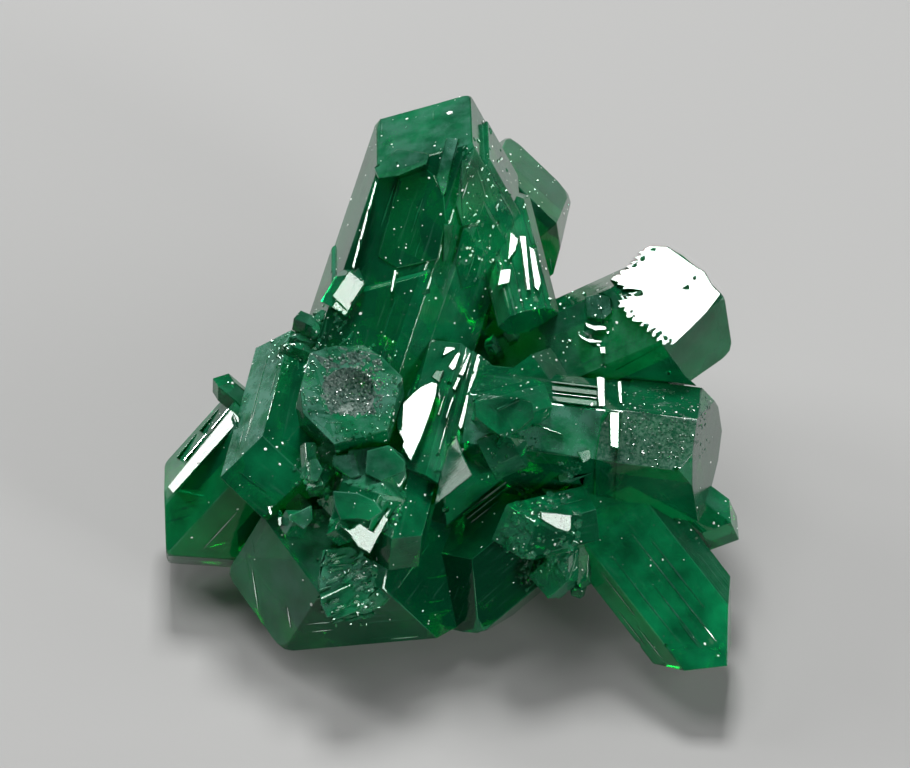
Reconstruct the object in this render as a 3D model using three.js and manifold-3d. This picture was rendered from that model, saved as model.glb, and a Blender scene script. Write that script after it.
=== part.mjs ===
// A loose cluster of dioptase crystals that grew together, so it is one solid.
// Units are millimetres. The cluster is laid out in a face-on frame: x to the right, y up the face and
// z out of the face. It is then leaned back onto its broken base, with +Z up.
import * as THREE from "three";
import { ConvexGeometry } from "three/addons/geometries/ConvexGeometry.js";
import { mergeVertices } from "three/addons/utils/BufferGeometryUtils.js";
import Module from "manifold-3d";

const wasm = await Module();
wasm.setup();

const UPRIGHT = 90; // degrees from the floor to upright
const LEAN = 45; // degrees that the face-on frame leans back from upright
const BASE_DROP = 8.5; // height of the face-on origin above the broken base
const BASE_BLOCK = 80; // side of the block that takes off everything under the base

// Dioptase is trigonal: a six-sided prism, closed by three faces that stand over every other prism edge.
const AXIAL_RATIO = 0.534; // c over a
const CAP_LEAN = Math.atan((4 / Math.sqrt(3)) * AXIAL_RATIO); // from the long axis to a cap face's normal
const PRISM_STEP = 60; // degrees between prism faces
const CAP_STEP = 120; // degrees between cap faces
const SAME_POINT = 1e-4; // corners closer than this are one corner

// The crystals, each by these values.
// apex: the point of the crystal.
// swing: where it points, in degrees from x towards y.
// rise: how far it points out of the face, in degrees.
// half: from the axis to a prism face.
// length: from the apex back to the root.
// turn: from the crystal's front round to its first prism face, in degrees.
// cap: 1 or -1, which prism edges carry the cap faces.
// spread: factors on half for the six prism faces.
// lower: how far each cap face sits back from the apex.
// doubled: whether the root also ends in a point.
// bevels: narrow faces along prism edges, as [degrees round from the front, distance from the axis].
// breaks: flat breaks, as [a point on the break, and the swing and rise of its outward normal].
// steps: parallel growths on the same axis, each with its own values where it differs, and
// moved by shift: back along the axis, sideways and to the front.
const CRYSTALS = {
  tall: {
    apex: [1.2, 17.7, 1.0],
    swing: 71.5,
    rise: -1,
    half: 4.4,
    length: 26,
    turn: -17,
    cap: -1,
    bevels: [[13, 4.93]],
    breaks: [[[-3.7, 16.2, 2], 140, 10]],
    steps: [
      { shift: [8, 0, 0.25], spread: [1.02, 1, 1, 1, 1, 1.03] },
      { shift: [1.2, 1.5, -0.1], half: 3.3 },
      { shift: [3.6, 1.7, 0.5], half: 3.1 },
    ],
  },
  shoulder: {
    apex: [2.7, 13.6, -1],
    swing: 101,
    rise: 55,
    half: 3.8,
    length: 12.5,
    doubled: true,
    turn: 13,
    cap: -1,
    breaks: [[[6.8, 9, -4], -14, 0]],
  },
  shoulder_low: {
    apex: [2.5, 12.6, -0.6],
    swing: 103.5,
    rise: -28,
    half: 1.25,
    length: 10,
    turn: 10,
    cap: 1,
    steps: [
      { shift: [1.5, 0.45, 0.12], half: 1.15 },
      { shift: [0.8, 0.8, 0.02], half: 1.05 },
      { shift: [3.8, -0.5, 0.05], half: 1.1 },
    ],
  },
  upper_right: { apex: [16.05, 5.45, 7], swing: 24, rise: 34, half: 3.65, length: 21, turn: -19, cap: -1 },
  middle_right: {
    apex: [19, -4.3, 7.5],
    swing: -7,
    rise: 6,
    half: 3.2,
    length: 18,
    turn: -7,
    cap: 1,
    spread: [1.22, 1, 1, 1, 1, 1],
    breaks: [
      [[14.8, -3, 7], -6, 15],
      [[14.8, -0.5, 7], 50, 20],
    ],
    steps: [
      {
        half: 3.4,
        length: 9,
        breaks: [
          [[15.1, -3, 7], -6, 15],
          [[14.9, -0.3, 7], 45, 20],
          [[10.1, -2.5, 11.3], 166, 59],
        ],
      },
      {
        half: 3.3,
        length: 10.2,
        breaks: [
          [[14.8, -3, 7], -6, 15],
          [[14.8, -0.5, 7], 50, 20],
          [[9.0, 0.2, 9.4], 140, 50],
        ],
      },
    ],
  },
  lower_right: {
    apex: [16.6, -16.6, 8],
    swing: -52,
    rise: 10,
    half: 2.9,
    length: 22,
    turn: 0,
    cap: 1,
    spread: [0.71, 1, 1, 0.71, 1, 1],
    lower: [-4, 0, 0.4],
    breaks: [[[14.6, -16.1, 10], 278, -12]],
  },
  lower_right_side: { apex: [17.0, -8.8, 5], swing: -38, rise: 5, half: 1.35, length: 9, turn: 12, cap: 1 },
  lower_left: {
    apex: [-13.2, -10.8, 4.6],
    swing: 185.5,
    rise: -6,
    half: 4.3,
    length: 14,
    turn: -47.4,
    cap: 1,
    breaks: [[[-2.6, -12, 9], 0, 42]],
  },
  left: {
    apex: [-16.9, -10.4, 0],
    swing: 227,
    rise: -24,
    half: 3.2,
    length: 11,
    turn: -25,
    cap: -1,
    spread: [1, 1, 1.42, 1, 1, 1],
    bevels: [
      [47, 3.27],
      [68, 3.37],
    ],
  },
  left_front: { apex: [-10.8, -7.4, 9.5], swing: 257, rise: 40, half: 2.6, length: 12, turn: -9, cap: 1 },
  front: {
    apex: [-5.9, 1.2, 14],
    swing: 95,
    rise: 68,
    half: 2.75,
    length: 17,
    turn: 10,
    cap: 1,
    breaks: [[[-5.9, -0.1, 10.9], 95, 78]],
  },
  front_low: { apex: [-4.8, -8.6, 12], swing: 262, rise: 50, half: 2.1, length: 11, turn: 20, cap: 1 },
  spine: {
    apex: [-3.3, -10.2, 12.3],
    swing: 255,
    rise: 33,
    half: 1.6,
    length: 15,
    turn: 15,
    cap: 1,
    breaks: [[[-2.6, -4.5, 10], 245, 12]],
    steps: [
      { shift: [5.2, -0.5, -0.1], half: 1.4 },
      { shift: [7.4, -0.9, -0.2], half: 1.35 },
      { shift: [8.8, -1.4, -0.35], half: 1.3 },
      { shift: [9.8, -1.9, -0.6], half: 1.2 },
    ],
  },
  spine_low: { apex: [-3.5, -10.3, 11.4], swing: 255, rise: 33, half: 1.5, length: 12, turn: 40, cap: 1 },
  underside: { apex: [-2.4, -13.6, 4], swing: 219.5, rise: 4, half: 3.5, length: 15, turn: -22, cap: 1 },
  underside_step: { apex: [-2.5, -7.4, 6.4], swing: 219.5, rise: 4, half: 2, length: 9, turn: -22, cap: 1 },
  perched: { apex: [-5.35, 7.2, 5.3], swing: 59, rise: -5, half: 0.85, length: 2.9, turn: 25, cap: 1 },
  centre_block: { apex: [1.2, -1.7, 11], swing: 195, rise: 22, half: 1.2, length: 4.6, turn: 10, cap: 1 },
  centre_knob: { apex: [2.3, -4.5, 10.5], swing: 230, rise: 45, half: 1.4, length: 8, turn: 0, cap: 1 },
  lower_block: { apex: [2.4, -8.6, 9.5], swing: 193, rise: 15, half: 1.65, length: 6, turn: -20, cap: 1 },
  lower_sliver: { apex: [-7.1, -8.3, 11.2], swing: 196, rise: 3, half: 0.75, length: 3.6, turn: 38, cap: 1 },
  lower_knob: { apex: [5.7, -12.1, 8], swing: 250, rise: 28, half: 1.3, length: 7, turn: 0, cap: 1 },
  left_lump: { apex: [-14, 0.7, 4], swing: 140, rise: 5, half: 0.75, length: 5, turn: 20, cap: 1 },
  hexagon: {
    apex: [-9, -7.4, 12],
    swing: 90,
    rise: 80,
    half: 0.75,
    length: 4,
    turn: 0,
    cap: 1,
    lower: [0.5, 0.5, 0.5],
  },
  back_upper: { apex: [-1, 7, -13], swing: 92, rise: -52, half: 3.3, length: 16, turn: 10, cap: 1 },
  back_right: { apex: [10, 2, -9.5], swing: -3, rise: -42, half: 3, length: 15, turn: -8, cap: -1 },
  back_left: { apex: [-10, 0.5, -10], swing: 184, rise: -44, half: 3.2, length: 15, turn: 14, cap: 1 },
  back_edge: { apex: [4.3, 8, -10.5], swing: 58, rise: -55, half: 2.2, length: 14, turn: 22, cap: -1 },
  back_low: { apex: [2, -2, -14], swing: 275, rise: -78, half: 2.6, length: 15, turn: 5, cap: 1 },
  back_ledge: { apex: [-6, 8.5, -7.5], swing: 128, rise: -40, half: 1.9, length: 11, turn: 16, cap: -1 },
  back_small: { apex: [2.8, 11.5, -6.5], swing: 80, rise: -35, half: 1.5, length: 9, turn: 30, cap: 1 },
  root: { apex: [0, -12.5, -12.5], swing: 270, rise: -45, half: 5.4, length: 15.5, turn: 8, cap: 1 },
  root_left: { apex: [-7, -12, -9], swing: 240, rise: -42, half: 3, length: 14, turn: 20, cap: 1 },
  root_right: { apex: [7, -11, -11], swing: 300, rise: -48, half: 3.2, length: 14, turn: -15, cap: -1 },
};

// Small crystals that coat a hollow between the big ones, all pointing roughly one way.
// at: the middle of the patch. reach: how far they scatter. half: their usual half width.
const DRUSE = [
  { at: [-8.5, 4.2, 4.5], swing: 140, rise: 25, count: 6, reach: 0.9, half: 0.5 },
  { at: [-9.7, 2.6, 5], swing: 150, rise: 35, count: 5, reach: 0.6, half: 0.45 },
  { at: [-7.5, -5.4, 10], swing: 250, rise: 60, count: 6, reach: 1.1, half: 0.5 },
  { at: [7.4, -11.9, 7], swing: 300, rise: 20, count: 4, reach: 0.6, half: 0.4 },
  { at: [6.4, -4.9, 9.6], swing: 270, rise: 45, count: 5, reach: 0.9, half: 0.4 },
  { at: [-5.9, -10.9, 10], swing: 195, rise: 45, count: 9, reach: 1.2, half: 0.55 },
  { at: [3.6, 3.4, 2.3], swing: 100, rise: 50, count: 6, reach: 1.4, half: 0.45 },
];
const DRUSE_SEED = 7;
const DRUSE_LENGTH = 6; // length of a small crystal, in half widths
const DRUSE_LEAN = 35; // degrees that a small crystal may lean from its patch's direction
const DRUSE_SMALLEST = 0.7; // half width of the smallest and of the largest in a patch, over the usual
const DRUSE_LARGEST = 1.4;
const SCATTER_FACTOR = 16807; // for the repeatable run of numbers that spreads the small crystals
const SCATTER_PRIME = 2147483647;

// Shell-shaped chips and the worn pit, as [the middle of the ball that took it out, the ball's radius].
const SCOOPS = [
  [[-5.9, 0.15, 12.7], 2.4],
  [[7.56, 4.8, 7.48], 2.2],
  [[7.56, 3.7, 7.59], 2.2],
];
const SCOOP_DETAIL = 5; // how finely the scooped faces are divided

// Unit vectors of one crystal: its long axis, its front and its side.
function crystalAxes({ swing, rise }) {
  const along = pointing(swing, rise);
  const front = new THREE.Vector3(0, 0, 1).addScaledVector(along, -along.z).normalize();
  const side = new THREE.Vector3().crossVectors(along, front);
  return { along, front, side };
}

// The unit vector that points by swing and rise.
function pointing(swing, rise) {
  const direction = new THREE.Vector3(1, 0, 0);
  direction.applyAxisAngle(new THREE.Vector3(0, 1, 0), -THREE.MathUtils.degToRad(rise));
  return direction.applyAxisAngle(new THREE.Vector3(0, 0, 1), THREE.MathUtils.degToRad(swing));
}

// The planes that bound one crystal, with normals pointing out.
function crystalPlanes(crystal) {
  const { apex, half, length, turn, cap } = crystal;
  const { spread = [1, 1, 1, 1, 1, 1], lower = [0, 0, 0], doubled = false } = crystal;
  const { bevels = [], breaks = [] } = crystal;
  const tip = new THREE.Vector3(...apex);
  const { along, front, side } = crystalAxes(crystal);
  const around = (degrees) => {
    const angle = THREE.MathUtils.degToRad(degrees);
    return front.clone().multiplyScalar(Math.cos(angle)).addScaledVector(side, Math.sin(angle));
  };
  const plane = (normal, distance) =>
    new THREE.Plane().setFromNormalAndCoplanarPoint(normal, tip.clone().addScaledVector(normal, distance));
  const sides = spread.map((factor, k) => plane(around(turn + PRISM_STEP * k), half * factor));
  const caps = lower.map((drop, k) => {
    const out = around(turn + cap * (PRISM_STEP / 2) + CAP_STEP * k);
    return plane(out.multiplyScalar(Math.sin(CAP_LEAN)).addScaledVector(along, Math.cos(CAP_LEAN)), -drop);
  });
  const planes = [...sides, ...caps];
  bevels.forEach(([degrees, distance]) => planes.push(plane(around(degrees), distance)));
  breaks.forEach(([point, swing, rise]) => {
    const normal = pointing(swing, rise);
    planes.push(new THREE.Plane().setFromNormalAndCoplanarPoint(normal, new THREE.Vector3(...point)));
  });
  const root = tip.clone().addScaledVector(along, -length);
  const ends = doubled ? caps.map((face) => face.normal.clone().negate()) : [along.clone().negate()];
  ends.forEach((normal) => planes.push(new THREE.Plane().setFromNormalAndCoplanarPoint(normal, root)));
  return planes;
}

// The corners where three planes meet and no other plane cuts them off.
function cornersOf(planes) {
  const corners = [];
  for (let a = 0; a < planes.length; a += 1) {
    for (let b = a + 1; b < planes.length; b += 1) {
      for (let c = b + 1; c < planes.length; c += 1) {
        const corner = meetingPoint(planes[a], planes[b], planes[c]);
        const inside = corner && planes.every((plane) => plane.distanceToPoint(corner) < SAME_POINT);
        if (inside && !corners.some((other) => other.distanceTo(corner) < SAME_POINT)) corners.push(corner);
      }
    }
  }
  return corners;
}

// The point where three planes meet, or null where two of them are parallel.
function meetingPoint(p, q, r) {
  const qr = new THREE.Vector3().crossVectors(q.normal, r.normal);
  const rp = new THREE.Vector3().crossVectors(r.normal, p.normal);
  const pq = new THREE.Vector3().crossVectors(p.normal, q.normal);
  const volume = p.normal.dot(qr);
  if (Math.abs(volume) < SAME_POINT) return null;
  return qr
    .multiplyScalar(-p.constant)
    .addScaledVector(rp, -q.constant)
    .addScaledVector(pq, -r.constant)
    .divideScalar(volume);
}

// A closed three.js geometry as a solid that can be joined and cut.
function solidOf(geometry) {
  const bare = geometry.clone();
  bare.deleteAttribute("normal");
  bare.deleteAttribute("uv");
  const merged = mergeVertices(bare);
  const triVerts = new Uint32Array(merged.index.array);
  return new wasm.Manifold(
    new wasm.Mesh({ numProp: 3, vertProperties: merged.attributes.position.array, triVerts }),
  );
}

function geometryOf(solid) {
  const { vertProperties, triVerts } = solid.getMesh();
  const geometry = new THREE.BufferGeometry();
  geometry.setAttribute("position", new THREE.BufferAttribute(vertProperties, 3));
  geometry.setIndex(new THREE.BufferAttribute(triVerts, 1));
  return geometry;
}

function growthSolid(crystal) {
  return solidOf(new ConvexGeometry(cornersOf(crystalPlanes(crystal))));
}

// One crystal with its parallel growths.
function crystalSolid({ steps = [], ...body }) {
  const { along, front, side } = crystalAxes(body);
  const growths = steps.map(({ shift = [0, 0, 0], ...values }) => {
    const [back, sideways, forward] = shift;
    const apex = new THREE.Vector3(...body.apex);
    apex.addScaledVector(along, -back).addScaledVector(side, sideways).addScaledVector(front, forward);
    return growthSolid({ ...body, length: body.length - back, ...values, apex: apex.toArray() });
  });
  return growths.reduce((whole, growth) => whole.add(growth), growthSolid(body));
}

// A repeatable run of numbers between 0 and 1.
function* scatter(seed) {
  let state = seed;
  while (true) {
    state = (state * SCATTER_FACTOR) % SCATTER_PRIME;
    yield state / SCATTER_PRIME;
  }
}

function druseCrystals() {
  const numbers = scatter(DRUSE_SEED);
  const between = (low, high) => low + (high - low) * numbers.next().value;
  return DRUSE.flatMap(({ at, swing, rise, count, reach, half }) =>
    Array.from({ length: count }, () => {
      const size = half * between(DRUSE_SMALLEST, DRUSE_LARGEST);
      return {
        apex: at.map((value) => value + between(-reach, reach)),
        swing: swing + between(-DRUSE_LEAN, DRUSE_LEAN),
        rise: rise + between(-DRUSE_LEAN, DRUSE_LEAN),
        half: size,
        length: size * DRUSE_LENGTH,
        turn: between(0, PRISM_STEP),
        cap: 1,
      };
    }),
  );
}

function scoopSolid([middle, radius]) {
  const ball = new THREE.IcosahedronGeometry(radius, SCOOP_DETAIL);
  ball.translate(...middle);
  return solidOf(ball);
}

// The block under the base, in the face-on frame.
function underBase() {
  const block = new THREE.BoxGeometry(BASE_BLOCK, BASE_BLOCK, BASE_BLOCK);
  block.translate(0, 0, -BASE_BLOCK / 2 - BASE_DROP);
  block.rotateX(-THREE.MathUtils.degToRad(UPRIGHT - LEAN));
  return solidOf(block);
}

const crystals = [...Object.values(CRYSTALS), ...druseCrystals()].map(crystalSolid);
const grown = crystals.reduce((cluster, crystal) => cluster.add(crystal));
const chipped = SCOOPS.map(scoopSolid).reduce((cluster, scoop) => cluster.subtract(scoop), grown);
const cluster = geometryOf(chipped.subtract(underBase()));

const dioptase = new THREE.MeshStandardMaterial({ color: 0x0b5a37, roughness: 0.12, metalness: 0 });
const mesh = new THREE.Mesh(cluster, dioptase);
mesh.name = "crystal_cluster";
mesh.rotation.x = THREE.MathUtils.degToRad(UPRIGHT - LEAN);
mesh.position.z = BASE_DROP;

const part = new THREE.Group();
part.add(mesh);

export default part;
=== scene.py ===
"""Looks of a dioptase crystal cluster: its worn faces, the dust on them, painted light and shade on some
faces, and the studio it is seen in.
"""
import logging
import math
import random
from dataclasses import dataclass, field, replace
from enum import Enum
from typing import Any, Iterable, Sequence

import bpy
import numpy as np
from mathutils import Matrix, Vector


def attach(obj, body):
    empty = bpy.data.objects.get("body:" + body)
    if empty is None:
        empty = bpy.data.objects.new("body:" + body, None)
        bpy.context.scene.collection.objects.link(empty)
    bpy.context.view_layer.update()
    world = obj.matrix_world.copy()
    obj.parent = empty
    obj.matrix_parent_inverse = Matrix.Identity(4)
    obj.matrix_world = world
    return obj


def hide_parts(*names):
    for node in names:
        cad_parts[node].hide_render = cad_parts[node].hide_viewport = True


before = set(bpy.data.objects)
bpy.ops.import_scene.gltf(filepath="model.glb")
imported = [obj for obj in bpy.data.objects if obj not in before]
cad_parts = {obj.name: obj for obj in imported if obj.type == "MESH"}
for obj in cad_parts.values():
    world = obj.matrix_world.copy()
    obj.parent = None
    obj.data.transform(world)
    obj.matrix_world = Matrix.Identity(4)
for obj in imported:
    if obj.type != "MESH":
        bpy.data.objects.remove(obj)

MM = 0.001
BODY = "root"
GROWTH_MAP = "growth"

Colour = tuple[float, float, float, float]
Place = tuple[float, float]
Heading = tuple[float, float, float]

log = logging.getLogger("dioptase")


class FaceMark(Enum):
    """What the body's faces carry for their material, by attribute name."""

    # Tone and haze also carry painted light and shade on listed faces.
    TONE = "face_tone"
    HAZE = "face_haze"
    GRIT = "face_grit"


class Join(Enum):
    """How small shapes meet the body."""

    ADD = "UNION"
    CUT = "DIFFERENCE"


class Lamp(Enum):
    """The studio's lamps."""

    OVERHEAD = "overhead_box"
    RIGHT = "right_box"
    CORNER = "corner_box"
    STRIPE = "stripe_box"
    KEY = "key_box"
    UPPER = "upper_box"
    FILL = "front_fill"


@dataclass(frozen=True)
class FaceOn:
    """The frame that the camera looks straight into: x right, y up the face, z out of it, in millimetres.

    Attributes:
        lean_deg: How far the face leans back from upright.
        lift_mm: Height of the frame's origin over the floor.
        eye_mm: The camera's place.
    """

    lean_deg: float = 45.0
    lift_mm: float = 8.5
    eye_mm: tuple[float, float, float] = (0.3, 0.36, 250.0)

    @property
    def turn(self) -> Matrix:
        """Turns face-on directions into the row frame."""
        return Matrix.Rotation(math.radians(90.0 - self.lean_deg), 4, "X")

    @property
    def eye(self) -> Vector:
        """The camera's place in the row frame, in metres."""
        return self.point(*self.eye_mm)

    def point(self, x: float, y: float, z: float) -> Vector:
        """The place of a face-on point in the row frame, in metres."""
        return (self.turn @ Vector((x, y, z)) + Vector((0.0, 0.0, self.lift_mm))) * MM

    def direction(self, x: float, y: float, z: float) -> Vector:
        """The unit vector of a face-on direction in the row frame."""
        return (self.turn @ Vector((x, y, z))).normalized()

    def ray(self, place: Place) -> Vector:
        """The unit vector from the camera through a face-on place."""
        return (self.point(*place, 0.0) - self.eye).normalized()

    def seen(self, point: Vector) -> Place:
        """The face-on place where the camera shows a point.

        Args:
            point: The point in the row frame, in metres.

        Returns:
            Its place, in millimetres.
        """
        place = self.turn.inverted() @ (point / MM - Vector((0.0, 0.0, self.lift_mm)))
        share = self.eye_mm[2] / (self.eye_mm[2] - place.z)
        return (
            self.eye_mm[0] + (place.x - self.eye_mm[0]) * share,
            self.eye_mm[1] + (place.y - self.eye_mm[1]) * share,
        )


FACE = FaceOn()


class NodeSheet:
    """A node tree being drawn, with short calls that add and join its nodes."""

    def __init__(self, tree: bpy.types.NodeTree) -> None:
        """Takes the tree to draw in."""
        self.tree = tree

    def add(self, kind: str, inputs: dict[Any, Any] | None = None, **settings: Any) -> bpy.types.Node:
        """Adds a node, sets its properties and fills or links its inputs.

        Args:
            kind: The node's type name.
            inputs: Values or output sockets for the node's inputs, by name or number.
            settings: Properties of the node.

        Returns:
            The new node.
        """
        node = self.tree.nodes.new(kind)
        for name, value in settings.items():
            setattr(node, name, value)
        for name, value in (inputs or {}).items():
            self.feed(node.inputs[name], value)
        return node

    def feed(self, socket: bpy.types.NodeSocket, value: Any) -> None:
        """Links an output socket to an input, or sets the input's plain value."""
        if isinstance(value, bpy.types.NodeSocket):
            self.tree.links.new(value, socket)
        else:
            socket.default_value = value

    def math(self, operation: str, *values: Any) -> bpy.types.NodeSocket:
        """The output of a Math node on one to three values."""
        node = self.add("ShaderNodeMath", dict(enumerate(values)), operation=operation)
        return node.outputs[0]

    def mix(self, factor: Any, first: Any, second: Any) -> bpy.types.NodeSocket:
        """The output of a colour Mix node."""
        node = self.add("ShaderNodeMix", {0: factor, 6: first, 7: second}, data_type="RGBA")
        return node.outputs[2]

    def span(self, value: Any, start: Place, end: Place) -> bpy.types.NodeSocket:
        """The output of a clamped Map Range node.

        Args:
            value: The value to map.
            start: The old range's two ends.
            end: The new range's two ends.

        Returns:
            The mapped value's socket.
        """
        ends = {"From Min": start[0], "From Max": start[1], "To Min": end[0], "To Max": end[1]}
        return self.add("ShaderNodeMapRange", {"Value": value, **ends}).outputs[0]

    def noise(
        self, place: Any, scale: float, detail: float = 3.0, roughness: float = 0.55
    ) -> bpy.types.NodeSocket:
        """The output of a noise texture.

        Args:
            place: Where it is read.
            scale: How fine it is.
            detail: How many finer layers it has.
            roughness: How strong those layers are.

        Returns:
            The noise value's socket.
        """
        inputs = {"Vector": place, "Scale": scale, "Detail": detail, "Roughness": roughness}
        return self.add("ShaderNodeTexNoise", inputs).outputs["Fac"]


def new_group(name: str, inputs: dict[str, str], outputs: dict[str, str]) -> tuple[NodeSheet, Any, Any]:
    """Starts a shader node group.

    Args:
        name: The group's name.
        inputs: Socket types by input name.
        outputs: Socket types by output name.

    Returns:
        The sheet to draw on, the group's input node and its output node.
    """
    tree = bpy.data.node_groups.new(name, "ShaderNodeTree")
    for label, kind in inputs.items():
        tree.interface.new_socket(label, in_out="INPUT", socket_type=kind)
    for label, kind in outputs.items():
        tree.interface.new_socket(label, in_out="OUTPUT", socket_type=kind)
    sheet = NodeSheet(tree)
    return sheet, sheet.add("NodeGroupInput"), sheet.add("NodeGroupOutput")


@dataclass(frozen=True)
class GrowthLines:
    """Fine lines along a crystal's growth, read from the body's growth map.

    Attributes:
        name: The node group's name.
        stretch: The lines' width over their length.
    """

    name: str = "growth_lines"
    stretch: float = 0.06

    def build(self) -> bpy.types.NodeTree:
        """Makes the node group.

        Returns:
            The group, which puts out a height from 0 to 1 and a mask of the sharpest lines.
        """
        inputs = {"Map": "NodeSocketVector", "Fineness": "NodeSocketFloat"}
        outputs = {"Height": "NodeSocketFloat", "Lines": "NodeSocketFloat"}
        sheet, given, made = new_group(self.name, inputs, outputs)
        squeezed = sheet.add(
            "ShaderNodeVectorMath",
            {0: given.outputs["Map"], 1: (self.stretch, 1.0, 1.0)},
            operation="MULTIPLY",
        ).outputs[0]
        scaled = sheet.add(
            "ShaderNodeVectorMath", {0: squeezed, "Scale": given.outputs["Fineness"]}, operation="SCALE"
        ).outputs[0]
        broad = sheet.noise(scaled, 0.35, 2.0)
        fine = sheet.noise(scaled, 1.6, 3.0, 0.6)
        height = sheet.math("ADD", sheet.math("MULTIPLY", broad, 0.65), sheet.math("MULTIPLY", fine, 0.35))
        sheet.feed(made.inputs["Height"], height)
        sheet.feed(made.inputs["Lines"], sheet.span(fine, (0.58, 0.7), (0.0, 1.0)))
        return sheet.tree


@dataclass(frozen=True)
class SurfaceDustAndSparkle:
    """A dull film in soft patches, and separate pale specks, partly pale inclusions and partly painted
    sparkle.

    Attributes:
        name: The node group's name.
        patch_scale: How fine the film's patches are.
        speck_and_sparkle_scale: How close together the specks of pale inclusion and painted sparkle are.
    """

    name: str = "surface_dust_and_sparkle"
    patch_scale: float = 0.7
    speck_and_sparkle_scale: float = 1.9

    def build(self) -> bpy.types.NodeTree:
        """Makes the node group.

        Returns:
            The group, which puts out a mask of the film and one of the specks, which are partly painted
            sparkle.
        """
        inputs = {"Position": "NodeSocketVector", "Amount": "NodeSocketFloat"}
        outputs = {"Film": "NodeSocketFloat", "SpecksAndSparkle": "NodeSocketFloat"}
        sheet, given, made = new_group(self.name, inputs, outputs)
        place = given.outputs["Position"]
        patches = sheet.span(sheet.noise(place, self.patch_scale, 6.0, 0.66), (0.4, 0.62), (0.15, 1.0))
        film = sheet.math("MULTIPLY", patches, given.outputs["Amount"])
        cells = sheet.add("ShaderNodeTexVoronoi", {"Vector": place, "Scale": self.speck_and_sparkle_scale})
        fray = sheet.math("MULTIPLY", sheet.noise(place, 11.0, 2.0), 0.12)
        ragged = sheet.math("ADD", cells.outputs["Distance"], fray)
        sheet.feed(made.inputs["Film"], film)
        sheet.feed(made.inputs["SpecksAndSparkle"], sheet.span(ragged, (0.11, 0.14), (1.0, 0.0)))
        return sheet.tree


def millimetres(sheet: NodeSheet) -> bpy.types.NodeSocket:
    """The place on a piece, in millimetres.

    Args:
        sheet: The material's node tree.

    Returns:
        The place's socket.
    """
    place = sheet.add("ShaderNodeTexCoord").outputs["Object"]
    scaled = sheet.add("ShaderNodeVectorMath", {0: place, "Scale": 1.0 / MM}, operation="SCALE")
    return scaled.outputs[0]


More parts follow.
